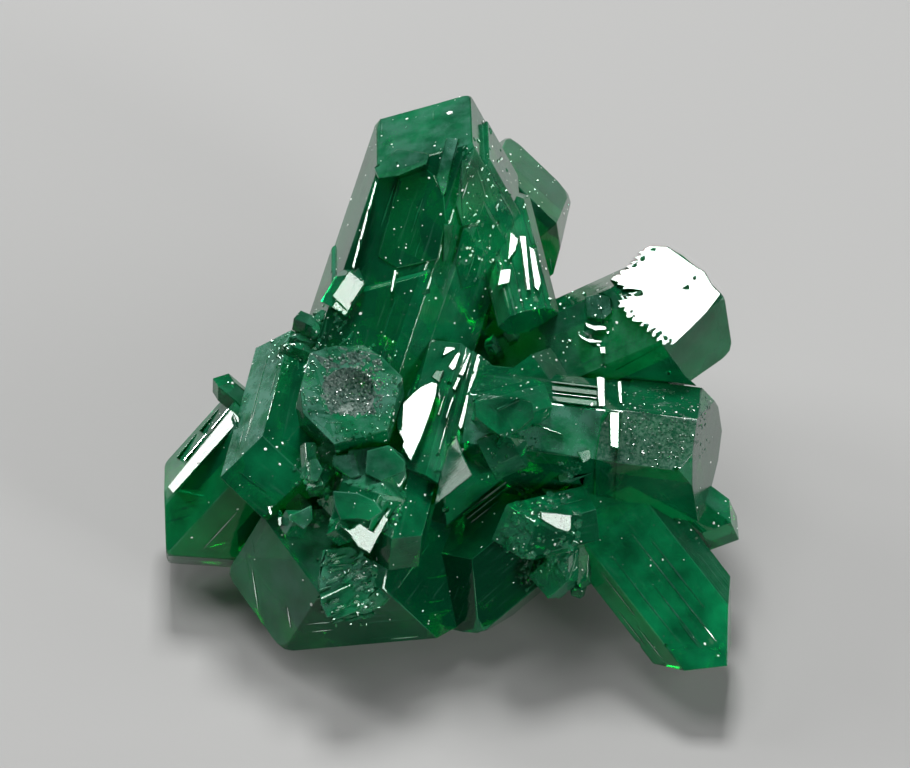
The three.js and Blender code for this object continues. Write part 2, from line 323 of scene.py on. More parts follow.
@dataclass(frozen=True)
class CrystalFinish:
    """Clear green crystal with growth lines, dull faces and gritty broken ones.

    Attributes:
        name: The material's name.
        deep: Tint of the clearest zones.
        bright: Tint of the livelier zones.
        film: Colour of the dull film.
        grit: Dark and pale grains of a rough face; the pale one also colours the specks of painted sparkle.
        sheen: Tint of what the surface mirrors.
        clearness: Share of light that passes through the surface.
        bend: Index of refraction.
        absorbed: Colour that survives a long way through the crystal.
        density: How fast the rest is taken away, per metre.
        gloss: Roughness of the cleanest and of the dullest faces.
        lines_mm: Depth of the growth lines.
        fineness: Growth lines per millimetre.
    """

    name: str = "clear_dioptase"
    deep: Colour = (0.001, 0.085, 0.034, 1.0)
    bright: Colour = (0.006, 0.46, 0.165, 1.0)
    film: Colour = (0.16, 0.50, 0.37, 1.0)
    grit: tuple[Colour, Colour] = ((0.01, 0.06, 0.05, 1.0), (0.38, 0.54, 0.49, 1.0))
    sheen: Colour = (0.32, 0.34, 0.32, 1.0)
    clearness: float = 0.74
    bend: float = 1.66
    absorbed: Colour = (0.05, 0.86, 0.52, 1.0)
    density: float = 520.0
    gloss: tuple[float, float] = (0.04, 0.36)
    lines_mm: float = 0.02
    fineness: float = 3.0

    def build(self, lines: bpy.types.NodeTree, dust: bpy.types.NodeTree) -> bpy.types.Material:
        """Makes the material.

        Args:
            lines: The growth-line group.
            dust: The group of dull film and pale specks, the specks partly painted sparkle.

        Returns:
            The finished material.
        """
        material = bpy.data.materials.new(self.name)
        material.use_nodes = True
        sheet = NodeSheet(material.node_tree)
        sheet.tree.nodes.clear()
        place = millimetres(sheet)
        marks = {
            mark: sheet.add("ShaderNodeAttribute", attribute_name=mark.value).outputs["Fac"]
            for mark in FaceMark
        }
        growth = sheet.add("ShaderNodeUVMap", uv_map=GROWTH_MAP).outputs[0]
        striae = sheet.add("ShaderNodeGroup", node_tree=lines)
        sheet.feed(striae.inputs["Map"], growth)
        sheet.feed(striae.inputs["Fineness"], self.fineness)
        grime_and_sparkle = sheet.add("ShaderNodeGroup", node_tree=dust)
        sheet.feed(grime_and_sparkle.inputs["Position"], place)
        sheet.feed(grime_and_sparkle.inputs["Amount"], marks[FaceMark.HAZE])
        grains = sheet.noise(place, 5.5, 4.0, 0.7)
        colour = self.colour(sheet, place, marks, striae, grime_and_sparkle, grains)
        dull = sheet.math("MAXIMUM", grime_and_sparkle.outputs["Film"], marks[FaceMark.GRIT])
        roughness = sheet.span(dull, (0.0, 1.0), self.gloss)
        coarse = sheet.math("MULTIPLY", grains, marks[FaceMark.GRIT])
        relief = sheet.math("ADD", striae.outputs["Height"], coarse)
        depth = self.lines_mm * MM
        bump = sheet.add("ShaderNodeBump", {"Strength": 0.7, "Distance": depth, "Height": relief})
        shader = sheet.add(
            "ShaderNodeBsdfPrincipled",
            {
                "Base Color": colour,
                "Roughness": roughness,
                "IOR": self.bend,
                "Specular Tint": self.sheen,
                "Transmission Weight": self.clearness,
                "Normal": bump.outputs[0],
            },
        )
        inside = sheet.add("ShaderNodeVolumeAbsorption", {"Color": self.absorbed, "Density": self.density})
        sheet.add("ShaderNodeOutputMaterial", {"Surface": shader.outputs[0], "Volume": inside.outputs[0]})
        return material

    def colour(
        self,
        sheet: NodeSheet,
        place: bpy.types.NodeSocket,
        marks: dict[FaceMark, bpy.types.NodeSocket],
        striae: bpy.types.Node,
        grime_and_sparkle: bpy.types.Node,
        grains: bpy.types.NodeSocket,
    ) -> bpy.types.NodeSocket:
        """The crystal's colour over its surface.

        Args:
            sheet: The material's node tree.
            place: Position in millimetres.
            marks: The faces' own marks.
            striae: The growth-line group node.
            grime_and_sparkle: The node of the dull film and of the pale specks, partly painted sparkle.
            grains: The noise of a rough face.

        Returns:
            The colour's socket.
        """
        zones = sheet.span(sheet.noise(place, 0.28, 5.0, 0.62), (0.36, 0.66), (0.15, 1.0))
        # The tone mark varies at random, and on listed faces it holds painted light and shade.
        clear = sheet.mix(sheet.math("MULTIPLY", zones, marks[FaceMark.TONE]), self.deep, self.bright)
        lined = sheet.mix(sheet.math("MULTIPLY", striae.outputs["Lines"], 0.15), clear, self.film)
        coated = sheet.mix(sheet.math("MULTIPLY", grime_and_sparkle.outputs["Film"], 0.8), lined, self.film)
        sand = sheet.mix(sheet.span(grains, (0.42, 0.68), (0.0, 1.0)), *self.grit)
        rough = sheet.mix(sheet.math("MULTIPLY", marks[FaceMark.GRIT], 0.75), coated, sand)
        # Pale specks lighten the colour: pale inclusions, and painted sparkle.
        return sheet.mix(sheet.math("MULTIPLY", grime_and_sparkle.outputs["SpecksAndSparkle"], 0.5), rough, self.grit[1])


@dataclass(frozen=True)
class GrainFinish:
    """Pale dust.

    Attributes:
        name: The material's name.
        dark: The darkest grains.
        pale: The palest grains.
    """

    name: str = "pale_dust"
    dark: Colour = (0.42, 0.46, 0.42, 1.0)
    pale: Colour = (0.86, 0.87, 0.84, 1.0)

    def build(self) -> bpy.types.Material:
        """Makes the material, a little different from grain to grain.

        Returns:
            The finished material.
        """
        material = bpy.data.materials.new(self.name)
        material.use_nodes = True
        sheet = NodeSheet(material.node_tree)
        shader = sheet.tree.nodes["Principled BSDF"]
        shade = sheet.span(sheet.noise(millimetres(sheet), 1.4, 2.0), (0.35, 0.6), (0.0, 1.0))
        sheet.feed(shader.inputs["Base Color"], sheet.mix(shade, self.dark, self.pale))
        sheet.feed(shader.inputs["Roughness"], 0.55)
        return material


@dataclass(frozen=True)
class FloorFinish:
    """Pale matt paper.

    Attributes:
        name: The material's name.
        colour: The paper's colour.
    """

    name: str = "pale_paper"
    colour: Colour = (0.23, 0.23, 0.226, 1.0)

    def build(self) -> bpy.types.Material:
        """Makes the material, with a faint tooth.

        Returns:
            The finished material.
        """
        material = bpy.data.materials.new(self.name)
        material.use_nodes = True
        sheet = NodeSheet(material.node_tree)
        shader = sheet.tree.nodes["Principled BSDF"]
        tooth = sheet.noise(millimetres(sheet), 0.9, 3.0)
        sheet.feed(shader.inputs["Base Color"], self.colour)
        sheet.feed(shader.inputs["Roughness"], 0.9)
        bump = sheet.add("ShaderNodeBump", {"Strength": 0.2, "Distance": 0.05 * MM, "Height": tooth})
        sheet.feed(shader.inputs["Normal"], bump.outputs[0])
        return material


def only(*pieces: bpy.types.Object) -> None:
    """Leaves these objects selected, with the first one active."""
    bpy.ops.object.select_all(action="DESELECT")
    for piece in pieces:
        piece.select_set(True)
    bpy.context.view_layer.objects.active = pieces[0]


def merge(body: bpy.types.Object, tool: bpy.types.Object, join: Join) -> None:
    """Adds a tool to the body or cuts it out, then removes the tool.

    Args:
        body: The body.
        tool: A closed shape.
        join: Whether it is added or cut out.
    """
    modifier = body.modifiers.new("merge", "BOOLEAN")
    modifier.operation = join.value
    modifier.solver = "MANIFOLD"
    modifier.object = tool
    only(body)
    bpy.ops.object.modifier_apply(modifier=modifier.name)
    bpy.data.objects.remove(tool)


@dataclass(frozen=True)
class Spot:
    """A place on a face.

    Attributes:
        point: The place, in metres.
        normal: The face's normal.
        along: The direction of growth on the face.
    """

    point: Vector
    normal: Vector
    along: Vector

    @property
    def across(self) -> Vector:
        """The direction on the face at right angles to its growth."""
        return self.normal.cross(self.along)

    def laid(self, heading: Vector) -> "Spot":
        """The same spot with its length laid towards a heading."""
        flat = heading - self.normal * heading.dot(self.normal)
        return replace(self, along=flat.normalized())

    def mirroring(self, target: Vector) -> "Spot":
        """The same spot, turned so that the camera sees a target mirrored in it.

        Args:
            target: The place to mirror.

        Returns:
            The turned spot.
        """
        towards = (target - self.point).normalized()
        back = (FACE.eye - self.point).normalized()
        return replace(self, normal=(towards + back).normalized())

    def frame(self, length: float, width: float, height: float, turn: float = 0.0) -> Matrix:
        """Places a unit shape on the face.

        Args:
            length: Its size along the growth, in metres.
            width: Its size across the growth.
            height: Its size off the face.
            turn: How far it is turned on the face, in radians.

        Returns:
            The matrix that takes the unit shape there.
        """
        along = self.along * math.cos(turn) + self.across * math.sin(turn)
        across = self.normal.cross(along)
        axes = Matrix((along * length, across * width, self.normal * height)).transposed().to_4x4()
        return Matrix.Translation(self.point) @ axes


class FaceMap:
    """The flat faces of the body, with the growth direction of each.

    The growth direction on a prism face is the axis of its prism, where other faces stand at 60 degrees
    to it.

    Attributes:
        zone_slack: How far the cosine between prism faces may be off.
        same_plane: Faces whose normals have a higher cosine than this are parallel.
        least_area_mm2: The smallest face that makes a plane.
        least_support: How many faces a prism needs.
        stray: Growth on a face without a prism lies at right angles to this.
        clear_mm: How far off the face a look at a lamp starts.
        over_mm: How far over the plain solid the grown body may be.
        step_mm: How finely a face's reach is measured.
        most_steps: How many such steps are tried.
        flat_mm: How far from flat a face may be.
    """

    zone_slack = 0.012
    same_plane = 0.9997
    least_area_mm2 = 0.2
    least_support = 3
    stray = (0.3, 0.5, 0.8)
    clear_mm = 0.02
    over_mm = 1.8
    step_mm = 0.1
    most_steps = 60
    flat_mm = 0.005

    def __init__(self, body: bpy.types.Object, plain: "FaceMap | None" = None) -> None:
        """Reads the faces of a body.

        Args:
            body: The body.
            plain: The plain solid's map, where the body has grown from it.
        """
        self.body = body
        mesh = body.data
        self.normals = np.array([face.normal for face in mesh.polygons])
        if plain is None:
            self.planes = self.find_planes([face.area for face in mesh.polygons])
            self.axes = self.find_axes()
        else:
            self.planes, self.axes = plain.planes, plain.axes
        self.plane_of = np.argmax(self.normals @ self.planes.T, axis=1)

    def find_planes(self, areas: Sequence[float]) -> np.ndarray:
        """Finds the planes of the larger faces.

        Args:
            areas: The faces' areas.

        Returns:
            Their different normals, largest face first.
        """
        planes: list[np.ndarray] = []
        for index in np.argsort(-np.array(areas)):
            if areas[index] < self.least_area_mm2 * MM * MM:
                break
            normal = self.normals[index]
            if not planes or max(np.array(planes) @ normal) < self.same_plane:
                planes.append(normal)
        return np.array(planes)

    def find_axes(self) -> np.ndarray:
        """Finds the growth direction in each plane.

        Returns:
            A unit vector for each plane, along its prism's axis where it has one.
        """
        dots = self.planes @ self.planes.T
        axes = np.cross(self.planes, self.stray)
        for index, normal in enumerate(self.planes):
            best = self.least_support - 1
            steps = np.abs(dots[index])
            regular = (np.abs(steps - 0.5) < self.zone_slack) | (np.abs(steps - 1.0) < self.zone_slack)
            for other in np.nonzero(np.abs(dots[index] - 0.5) < self.zone_slack)[0]:
                axis = np.cross(normal, self.planes[other])
                axis = axis / np.linalg.norm(axis)
                support = int(np.sum((np.abs(self.planes @ axis) < self.zone_slack) & regular))
                if support > best:
                    best = support
                    axes[index] = axis
        return axes / np.linalg.norm(axes, axis=1)[:, None]

    def spot(self, face: int, point: Vector) -> Spot:
        """The spot at a point of a face.

        Args:
            face: The face's number.
            point: The point, in metres.

        Returns:
            The spot, with the face's normal and growth direction.
        """
        along = Vector(self.axes[self.plane_of[face]])
        normal = Vector(self.normals[face])
        along = (along - normal * along.dot(normal)).normalized()
        return Spot(point, normal, along)

    def random_spots(self, draw: random.Random, count: int) -> list[Spot]:
        """Spots spread evenly over the body.

        Args:
            draw: The run of random numbers.
            count: How many spots.

        Returns:
            The spots.
        """
        spots = []
        vertices = self.body.data.vertices
        self.body.data.calc_loop_triangles()
        triangles = list(self.body.data.loop_triangles)
        for triangle in draw.choices(triangles, [triangle.area for triangle in triangles], k=count):
            corners = [vertices[index].co for index in triangle.vertices]
            first, second = sorted((draw.random(), draw.random()))
            point = corners[0] * first + corners[1] * (second - first) + corners[2] * (1.0 - second)
            spots.append(self.spot(triangle.polygon_index, point))
        return spots

    def spot_under(self, place: Place) -> Spot | None:
        """The spot that the camera shows at a face-on place, or None beside the body."""
        hit, point, _, face = self.body.ray_cast(FACE.eye, FACE.ray(place))
        return self.spot(face, point) if hit else None

    def open_to(self, spot: Spot, target: Vector) -> bool:
        """Whether no part of the body stands between a spot and a target."""
        towards = (target - spot.point).normalized()
        return not self.body.ray_cast(spot.point + spot.normal * self.clear_mm * MM, towards)[0]

    def spot_beyond(self, start: Vector, heading: Vector) -> Spot | None:
        """The first spot from a start in a direction, or None where the body isn't met from outside."""
        hit, point, normal, face = self.body.ray_cast(start, heading)
        return self.spot(face, point) if hit and normal.dot(heading) < 0.0 else None

    def grown_over(self, spot: Spot) -> Spot | None:
        """The spot on this body over a spot of the plain solid.

        Args:
            spot: The plain solid's spot.

        Returns:
            The spot over it, or None where something else is in the way.
        """
        found = self.spot_beyond(spot.point + spot.normal * self.over_mm * MM, -spot.normal)
        near = found is not None and (found.point - spot.point).length < self.over_mm * MM
        return found if near else None

    def room(self, spot: Spot) -> tuple[float, ...]:
        """How far a face stays flat, ahead and back along its growth and to either side, in metres."""
        return tuple(self.reach(spot, way) for way in (spot.along, -spot.along, spot.across, -spot.across))

    def reach(self, spot: Spot, heading: Vector) -> float:
        """The distance that a face stays flat in one direction.

        Args:
            spot: The spot to start from.
            heading: The unit direction to go in.

        Returns:
            The distance, in metres.
        """
        step = self.step_mm * MM
        for count in range(1, self.most_steps):
            start = spot.point + heading * step * count + spot.normal * step
            hit, point, _, _ = self.body.ray_cast(start, -spot.normal)
            if not hit or abs((point - spot.point).dot(spot.normal)) > self.flat_mm * MM:
                return step * (count - 1)
        return step * self.most_steps


class SmallShape:
    """A small shape that is modelled once and copied on to the body.

    Attributes:
        apart: How much room a copy takes in its batch, over its largest size.
    """

    apart = 0.6

    def __init__(self, model: bpy.types.Object) -> None:
        """Takes the modelled shape."""
        self.model = model
        self.placed: list[Matrix] = []

    @classmethod
    def ridge(cls, taper: Place) -> "SmallShape":
        """A six-sided plate of unit size with sloping sides, pointed along its length.

        Args:
            taper: Its top's length and width over those of its foot.

        Returns:
            The shape.
        """
        bpy.ops.object.select_all(action="DESELECT")
        bpy.ops.mesh.primitive_cylinder_add(vertices=6, radius=0.5, depth=1.0)
        model = bpy.context.active_object
        for face in model.data.polygons:
            face.select = face.normal.z > 0.9
        for edge in model.data.edges:
            edge.select = False
        for vertex in model.data.vertices:
            vertex.select = vertex.co.z > 0.0
        bpy.ops.object.mode_set(mode="EDIT")
        bpy.ops.transform.resize(value=(*taper, 1.0))
        bpy.ops.object.mode_set(mode="OBJECT")
        return cls(model)

    @classmethod
    def lump(cls, squash: float) -> "SmallShape":
        """A rough lump of unit size.

        Args:
            squash: Its height over its length.

        Returns:
            The shape.
        """
        bpy.ops.object.select_all(action="DESELECT")
        bpy.ops.mesh.primitive_ico_sphere_add(subdivisions=1, radius=0.5)
        model = bpy.context.active_object
        bpy.ops.object.mode_set(mode="EDIT")
        bpy.ops.mesh.select_all(action="SELECT")
        bpy.ops.transform.resize(value=(1.0, 0.85, squash))
        bpy.ops.transform.vertex_random(offset=0.12, uniform=1.0, normal=0.0, seed=3)
        bpy.ops.object.mode_set(mode="OBJECT")
        return cls(model)

    def place(self, matrix: Matrix) -> None:
        """Notes where a copy goes."""
        self.placed.append(matrix)

    def batches(self) -> list[list[Matrix]]:
        """Groups the copies so that none in a group touch.

        Returns:
            The groups of places.
        """
        groups: list[list[tuple[Vector, float, Matrix]]] = []
        for matrix in self.placed:
            middle = matrix.to_translation()
            radius = max(matrix.col[axis].to_3d().length for axis in range(3)) * self.apart
            for group in groups:
                if all((middle - other).length > radius + reach for other, reach, _ in group):
                    group.append((middle, radius, matrix))
                    break
            else:
                groups.append([(middle, radius, matrix)])
        return [[matrix for _, _, matrix in group] for group in groups]

    def copies(self, matrices: Iterable[Matrix], name: str) -> bpy.types.Object:
        """Joins copies of the shape, one for each matrix.

        Args:
            matrices: Where the copies go.
            name: The joined object's name.

        Returns:
            The joined copies.
        """
        made = []
        for matrix in matrices:
            copy = self.model.copy()
            copy.data = self.model.data.copy()
            copy.data.transform(matrix)
            bpy.context.scene.collection.objects.link(copy)
            made.append(copy)
        only(*made)
        bpy.ops.object.join()
        made[0].name = made[0].data.name = name
        return made[0]

    def merge_into(self, body: bpy.types.Object, join: Join) -> None:
        """Adds the copies to the body or cuts them out of it, then removes the shape."""
        for number, group in enumerate(self.batches()):
            merge(body, self.copies(group, f"batch_{number}"), join)
        self.discard()

    def discard(self) -> None:
        """Removes the modelled shape."""
        bpy.data.objects.remove(self.model)


@dataclass(frozen=True)
class FaceLookWithPaintedShading:
    """How one face in view looks, with painted light and shade: a dark tone on a face in shade is painted
    shade, and a bright, dull look on a face under an overhang is painted light.

    Attributes:
        spot: A face-on place on it, in millimetres.
        tone: How lively its green is, from 0 to 1; a low tone paints shade, and a high tone on a shaded face
            paints light.
        haze: How dull it is, from 0 to 1; a high haze on a shaded face is painted light.
        grit: How grey and gritty it is, from 0 to 1.
        reach_mm: How far from the spot a face on the same plane still looks so.
    """

    spot: Place
    tone: float
    haze: float
    grit: float = 0.0
    reach_mm: float = 40.0


@dataclass(frozen=True)
class GritPatch:
    """A worn or broken part of a face, covered in small lumps.

    Attributes:
        low: Its lower left corner, face-on, in millimetres.
        high: Its upper right corner.
        count: How many lumps it has.
        size_mm: The lumps' smallest and largest size.
        grey: How far it has lost its green, from 0 to 1.
        tone: How lively its green is, from 0 to 1.
        haze: How dull it is, from 0 to 1.
        long: The lumps' length over their width.
        lie_deg: The face-on direction of long lumps.
        tall: The lumps' height over their length.
        lies_from: Lumps that are longer than this over their width lie along that direction.
        stray: How far they may lie off it, in radians.
    """

    low: Place
    high: Place
    count: int
    size_mm: Place
    grey: float
    tone: float
    haze: float
    long: float = 1.25
    lie_deg: float = 0.0
    tall: float = 0.55
    lies_from: float = 1.5
    stray: float = 0.3

    def holds(self, places: np.ndarray) -> np.ndarray:
        """Whether face-on places lie in the patch, which has round corners.

        Args:
            places: One place, or a row of them.

        Returns:
            True for each place that lies in it.
        """
        low, high = np.array(self.low), np.array(self.high)
        shares = (2.0 * places - low - high) / (high - low)
        return np.sum(shares**4, axis=-1) < 1.0

    def scatter(self, faces: FaceMap, shape: SmallShape, draw: random.Random) -> None:
        """Places its lumps.

        Args:
            faces: The body's faces.
            shape: The lump.
            draw: The run of random numbers.
        """
        for _ in range(self.count):
            place = (draw.uniform(self.low[0], self.high[0]), draw.uniform(self.low[1], self.high[1]))
            size = draw.uniform(*self.size_mm) * MM
            spread = self.stray if self.long > self.lies_from else math.pi
            turn = draw.uniform(-spread, spread)
            spot = faces.spot_under(place)
            if spot is not None and self.holds(np.array(place)) and not on_facet(place):
                lie = math.radians(self.lie_deg)
                laid = spot.laid(FACE.direction(math.cos(lie), math.sin(lie), 0.0))
                shape.place(laid.frame(size, size / self.long, size * self.tall, turn))


@dataclass(frozen=True)
class GlintPatch:
    """A part of the surface where tiny facets catch a lamp.

    Attributes:
        low: Its lower left corner, face-on, in millimetres.
        high: Its upper right corner.
        count: How many places are tried.
        size_mm: The smallest and largest facet.
        catches: The lamp that they catch.
        slim: The facets' smallest and largest width over their length.
        tall: Their height over their length.
    """

    low: Place
    high: Place
    count: int
    size_mm: Place
    catches: Lamp
    slim: Place = (0.3, 0.8)
    tall: float = 0.9

    def scatter(self, faces: FaceMap, shape: SmallShape, target: Vector, draw: random.Random) -> None:
        """Places its facets.

        Args:
            faces: The body's faces.
            shape: The facet.
            target: The lamp's place.
            draw: The run of random numbers.
        """
        for _ in range(self.count):
            place = (draw.uniform(self.low[0], self.high[0]), draw.uniform(self.low[1], self.high[1]))
            size = draw.uniform(*self.size_mm) * MM
            slim = draw.uniform(*self.slim)
            turn = draw.uniform(0.0, math.tau)
            spot = faces.spot_under(place)
            if spot is not None and not on_facet(place) and faces.open_to(spot, target):
                facet = spot.mirroring(target).laid(FACE.direction(1.0, 0.0, 0.0))
                shape.place(facet.frame(size, size * slim, size * self.tall, turn))


@dataclass(frozen=True)
class FacePlate:
    """A raised step or bright facet with an outline of its own.

    Attributes:
        outline: Its corners as the camera shows them, face-on, in millimetres.
        mirrors: The lamp or face-on direction that it mirrors, or None where it lies flat on its face.
        high_mm: How far it stands off the face.
        tone: How lively its green is, from 0 to 1.
        haze: How dull it is, from 0 to 1.
        level: Where it lies between the deepest and the highest part of the body under it, from 0 to 1.
        root_mm: How far it goes into the body.
        deepest_mm: The thickest that it may be.
        tallest_mm: The farthest that it may stand off the face at its middle.
        part_mm: The length of the parts that a plate is cut into where it would stand off farther.
        lap_mm: How far such parts reach over each other.
        most_corners: An outline with more corners than this stays whole.
    """

    outline: tuple[Place, ...]
    mirrors: Lamp | Heading | None
    high_mm: float
    tone: float
    haze: float
    level: float = 1.0
    root_mm: float = 0.3
    deepest_mm: float = 3.0
    tallest_mm: float = 1.05
    part_mm: float = 1.9
    lap_mm: float = 0.04
    most_corners: int = 8

    def lay(self, faces: FaceMap, lamps: dict[Lamp, Vector]) -> Spot | None:
        """Finds the plate's plane.

        Args:
            faces: The body's faces.
            lamps: The lamps' places.

        Returns:
            The middle of the plate with its normal, or None beside the body.
        """
        middle = tuple(np.mean(np.array(self.outline), axis=0))
        spot = faces.spot_under(middle)
        if spot is None or self.mirrors is None:
            return spot
        if isinstance(self.mirrors, Lamp):
            return spot.mirroring(lamps[self.mirrors])
        return spot.mirroring(spot.point + FACE.direction(*self.mirrors))

    def build(self, faces: FaceMap, spot: Spot) -> bpy.types.Object:
        """Models the plate from its face down into the body.

        Args:
            faces: The body's faces.
            spot: The plate's middle and normal.

        Returns:
            The plate, ready to be merged.
        """
        rays = [FACE.ray(place) for place in self.outline]
        plane = [self.distance(spot, place) for place in self.outline]
        gaps = [self.gap(faces, spot, place) for place in self.probes()]
        rise = self.rise(gaps)
        if len(self.outline) <= self.most_corners:
            rise = min(rise, self.tallest_mm * MM)
        depth = rise - min(gaps) + self.root_mm * MM
        bpy.ops.object.select_all(action="DESELECT")
        bpy.ops.mesh.primitive_circle_add(vertices=len(rays), fill_type="NGON")
        plate = bpy.context.active_object
        for vertex, ray, far in zip(plate.data.vertices, rays, plane):
            vertex.co = FACE.eye + ray * (far - rise)
        inward = FACE.direction(0.0, 0.0, -1.0) * min(depth, self.deepest_mm * MM)
        bpy.ops.object.mode_set(mode="EDIT")
        bpy.ops.mesh.select_all(action="SELECT")
        bpy.ops.mesh.extrude_region_move(TRANSFORM_OT_translate={"value": inward})
        bpy.ops.mesh.select_all(action="SELECT")
        bpy.ops.mesh.normals_make_consistent(inside=False)
        bpy.ops.object.mode_set(mode="OBJECT")
        return plate

    def rise(self, gaps: Sequence[float]) -> float:
        """How far the plate stands off the face at its middle, for the gaps under it, in metres."""
        return min(gaps) + (max(gaps) - min(gaps)) * self.level + self.high_mm * MM

    def parts(self, faces: FaceMap, lamps: dict[Lamp, Vector]) -> list["FacePlate"]:
        """Cuts the plate across its length, so that no part stands far off the body.

        Args:
            faces: The body's faces.
            lamps: The lamps' places.

        Returns:
            The parts, or the plate itself where it lies close enough or has too many corners.
        """
        spot = self.lay(faces, lamps)
        if spot is None or len(self.outline) > self.most_corners:
            return [self]
        if self.rise([self.gap(faces, spot, place) for place in self.probes()]) < self.tallest_mm * MM:
            return [self]
        corners = np.array(self.outline)
        along = np.linalg.svd(corners - corners.mean(axis=0))[2][0]
        reach = corners @ along
        count = max(2, math.ceil(np.ptp(reach) / self.part_mm))
        cuts = np.linspace(reach.min(), reach.max(), count + 1)
        outlines = [
            self.past(self.past(corners, along, low - self.lap_mm), -along, -high - self.lap_mm)
            for low, high in zip(cuts, cuts[1:])
        ]
        return [replace(self, outline=tuple(map(tuple, outline))) for outline in outlines if len(outline) > 2]

    @staticmethod
    def past(corners: np.ndarray, along: np.ndarray, limit: float) -> np.ndarray:
        """Cuts an outline across a direction.

        Args:
            corners: The outline's corners.
            along: The direction.
            limit: How far along it the cut lies.

        Returns:
            The corners of the part past the cut.
        """
        kept = []
        for start, end in zip(corners, np.roll(corners, -1, axis=0)):
            here, there = start @ along - limit, end @ along - limit
            if here >= 0.0:
                kept.append(start)
            if here * there < 0.0:
                kept.append(start + (end - start) * here / (here - there))
        return np.array(kept)

    def probes(self) -> list[Place]:
        """Places all over the plate.

        Returns:
            Its corners, and three rings towards its middle.
        """
        corners = np.array(self.outline)
        middle = corners.mean(axis=0)
        rings = [middle + (corners - middle) * share for share in (1.0, 0.75, 0.5, 0.25)]
        return [tuple(place) for place in np.concatenate(rings)]

    def distance(self, spot: Spot, place: Place) -> float:
        """How far the plate's plane is from the camera at a face-on place, in metres."""
        return (spot.point - FACE.eye).dot(spot.normal) / FACE.ray(place).dot(spot.normal)

    def gap(self, faces: FaceMap, spot: Spot, place: Place) -> float:
        """How far the plate's plane lies behind the body at a face-on place, in metres."""
        under = faces.spot_under(place)
        return 0.0 if under is None else self.distance(spot, place) - (under.point - FACE.eye).length

    def covers(self, places: np.ndarray) -> np.ndarray:
        """Whether face-on places lie in the box round the plate."""
        sides = np.array(self.outline)
        return np.all((sides.min(axis=0) <= places) & (places <= sides.max(axis=0)), axis=-1)


@dataclass(frozen=True)
class WornCorner:
    """A corner that is worn round.

    Attributes:
        spot: Its face-on place, in millimetres.
        size_mm: How far back from the corner the wear starts.
    """

    spot: Place
    size_mm: float


# Single faces' tone and haze, with painted light and shade: low tones paint shade on faces that look down,
# bright dull looks paint light on faces under an overhang.
LOOKS_WITH_PAINTED_SHADING = (
    FaceLookWithPaintedShading((-3.0, 9.5), 0.25, 0.0),
    FaceLookWithPaintedShading((-1.5, 4.0), 0.7, 0.1),
    FaceLookWithPaintedShading((-1.5, 16.0), 0.7, 0.55),
    FaceLookWithPaintedShading((-5.8, 9.5), 0.4, 0.3),
    FaceLookWithPaintedShading((1.8, 9.5), 0.9, 0.1),
    FaceLookWithPaintedShading((5.0, 13.2), 0.5, 0.3),
    FaceLookWithPaintedShading((6.2, 10.2), 0.5, 0.5),
    FaceLookWithPaintedShading((8.0, 2.6), 0.6, 0.4),
    FaceLookWithPaintedShading((13.0, 6.0), 0.3, 0.0),
    FaceLookWithPaintedShading((15.8, 3.4), 0.6, 0.1),
    FaceLookWithPaintedShading((7.0, -2.0), 0.8, 1.0),
    FaceLookWithPaintedShading((8.0, 0.1), 0.3, 0.1),
    FaceLookWithPaintedShading((11.0, -5.4), 0.5, 0.0),
    FaceLookWithPaintedShading((14.0, -11.0), 1.0, 0.0),
    FaceLookWithPaintedShading((16.6, -8.4), 0.5, 0.2),
    FaceLookWithPaintedShading((-15.0, -7.4), 0.6, 0.0),
    FaceLookWithPaintedShading((-15.6, -3.2), 0.7, 0.4),
    FaceLookWithPaintedShading((-11.3, -2.2), 0.7, 1.0),
    FaceLookWithPaintedShading((-11.2, -5.4), 0.7, 0.0),
    FaceLookWithPaintedShading((-9.5, -11.4), 0.8, 0.45),
    FaceLookWithPaintedShading((-4.4, -13.6), 0.2, 0.0),
    FaceLookWithPaintedShading((-3.0, -12.6), 0.1, 0.0),
    FaceLookWithPaintedShading((-2.4, 4.8), 0.5, 0.0),
    FaceLookWithPaintedShading((1.2, -12.2), 0.0, 0.0),
    FaceLookWithPaintedShading((-2.9, -7.8), 0.6, 0.0),
    FaceLookWithPaintedShading((-3.1, -9.7), 0.4, 0.0),
    FaceLookWithPaintedShading((2.6, -11.6), 0.0, 0.0),
    FaceLookWithPaintedShading((4.0, -12.5), 0.0, 0.0),
    FaceLookWithPaintedShading((2.8, -0.6), 1.0, 0.3),
    FaceLookWithPaintedShading((-6.2, -5.0), 1.0, 0.9),
    FaceLookWithPaintedShading((-7.8, -2.0), 1.0, 0.9),
    FaceLookWithPaintedShading((13.0, -2.0), 0.5, 0.4, 0.75, 4.0),
    FaceLookWithPaintedShading((15.3, -2.4), 0.3, 0.0, 0.3, 6.0),
    FaceLookWithPaintedShading((-9.0, -9.3), 0.6, 0.5),
    FaceLookWithPaintedShading((-5.4, -4.2), 1.0, 0.8),
    FaceLookWithPaintedShading((-6.6, -5.4), 1.0, 0.8),
    FaceLookWithPaintedShading((-4.0, -5.2), 1.0, 0.6),
    FaceLookWithPaintedShading((4.0, 6.4), 0.5, 1.0),
)

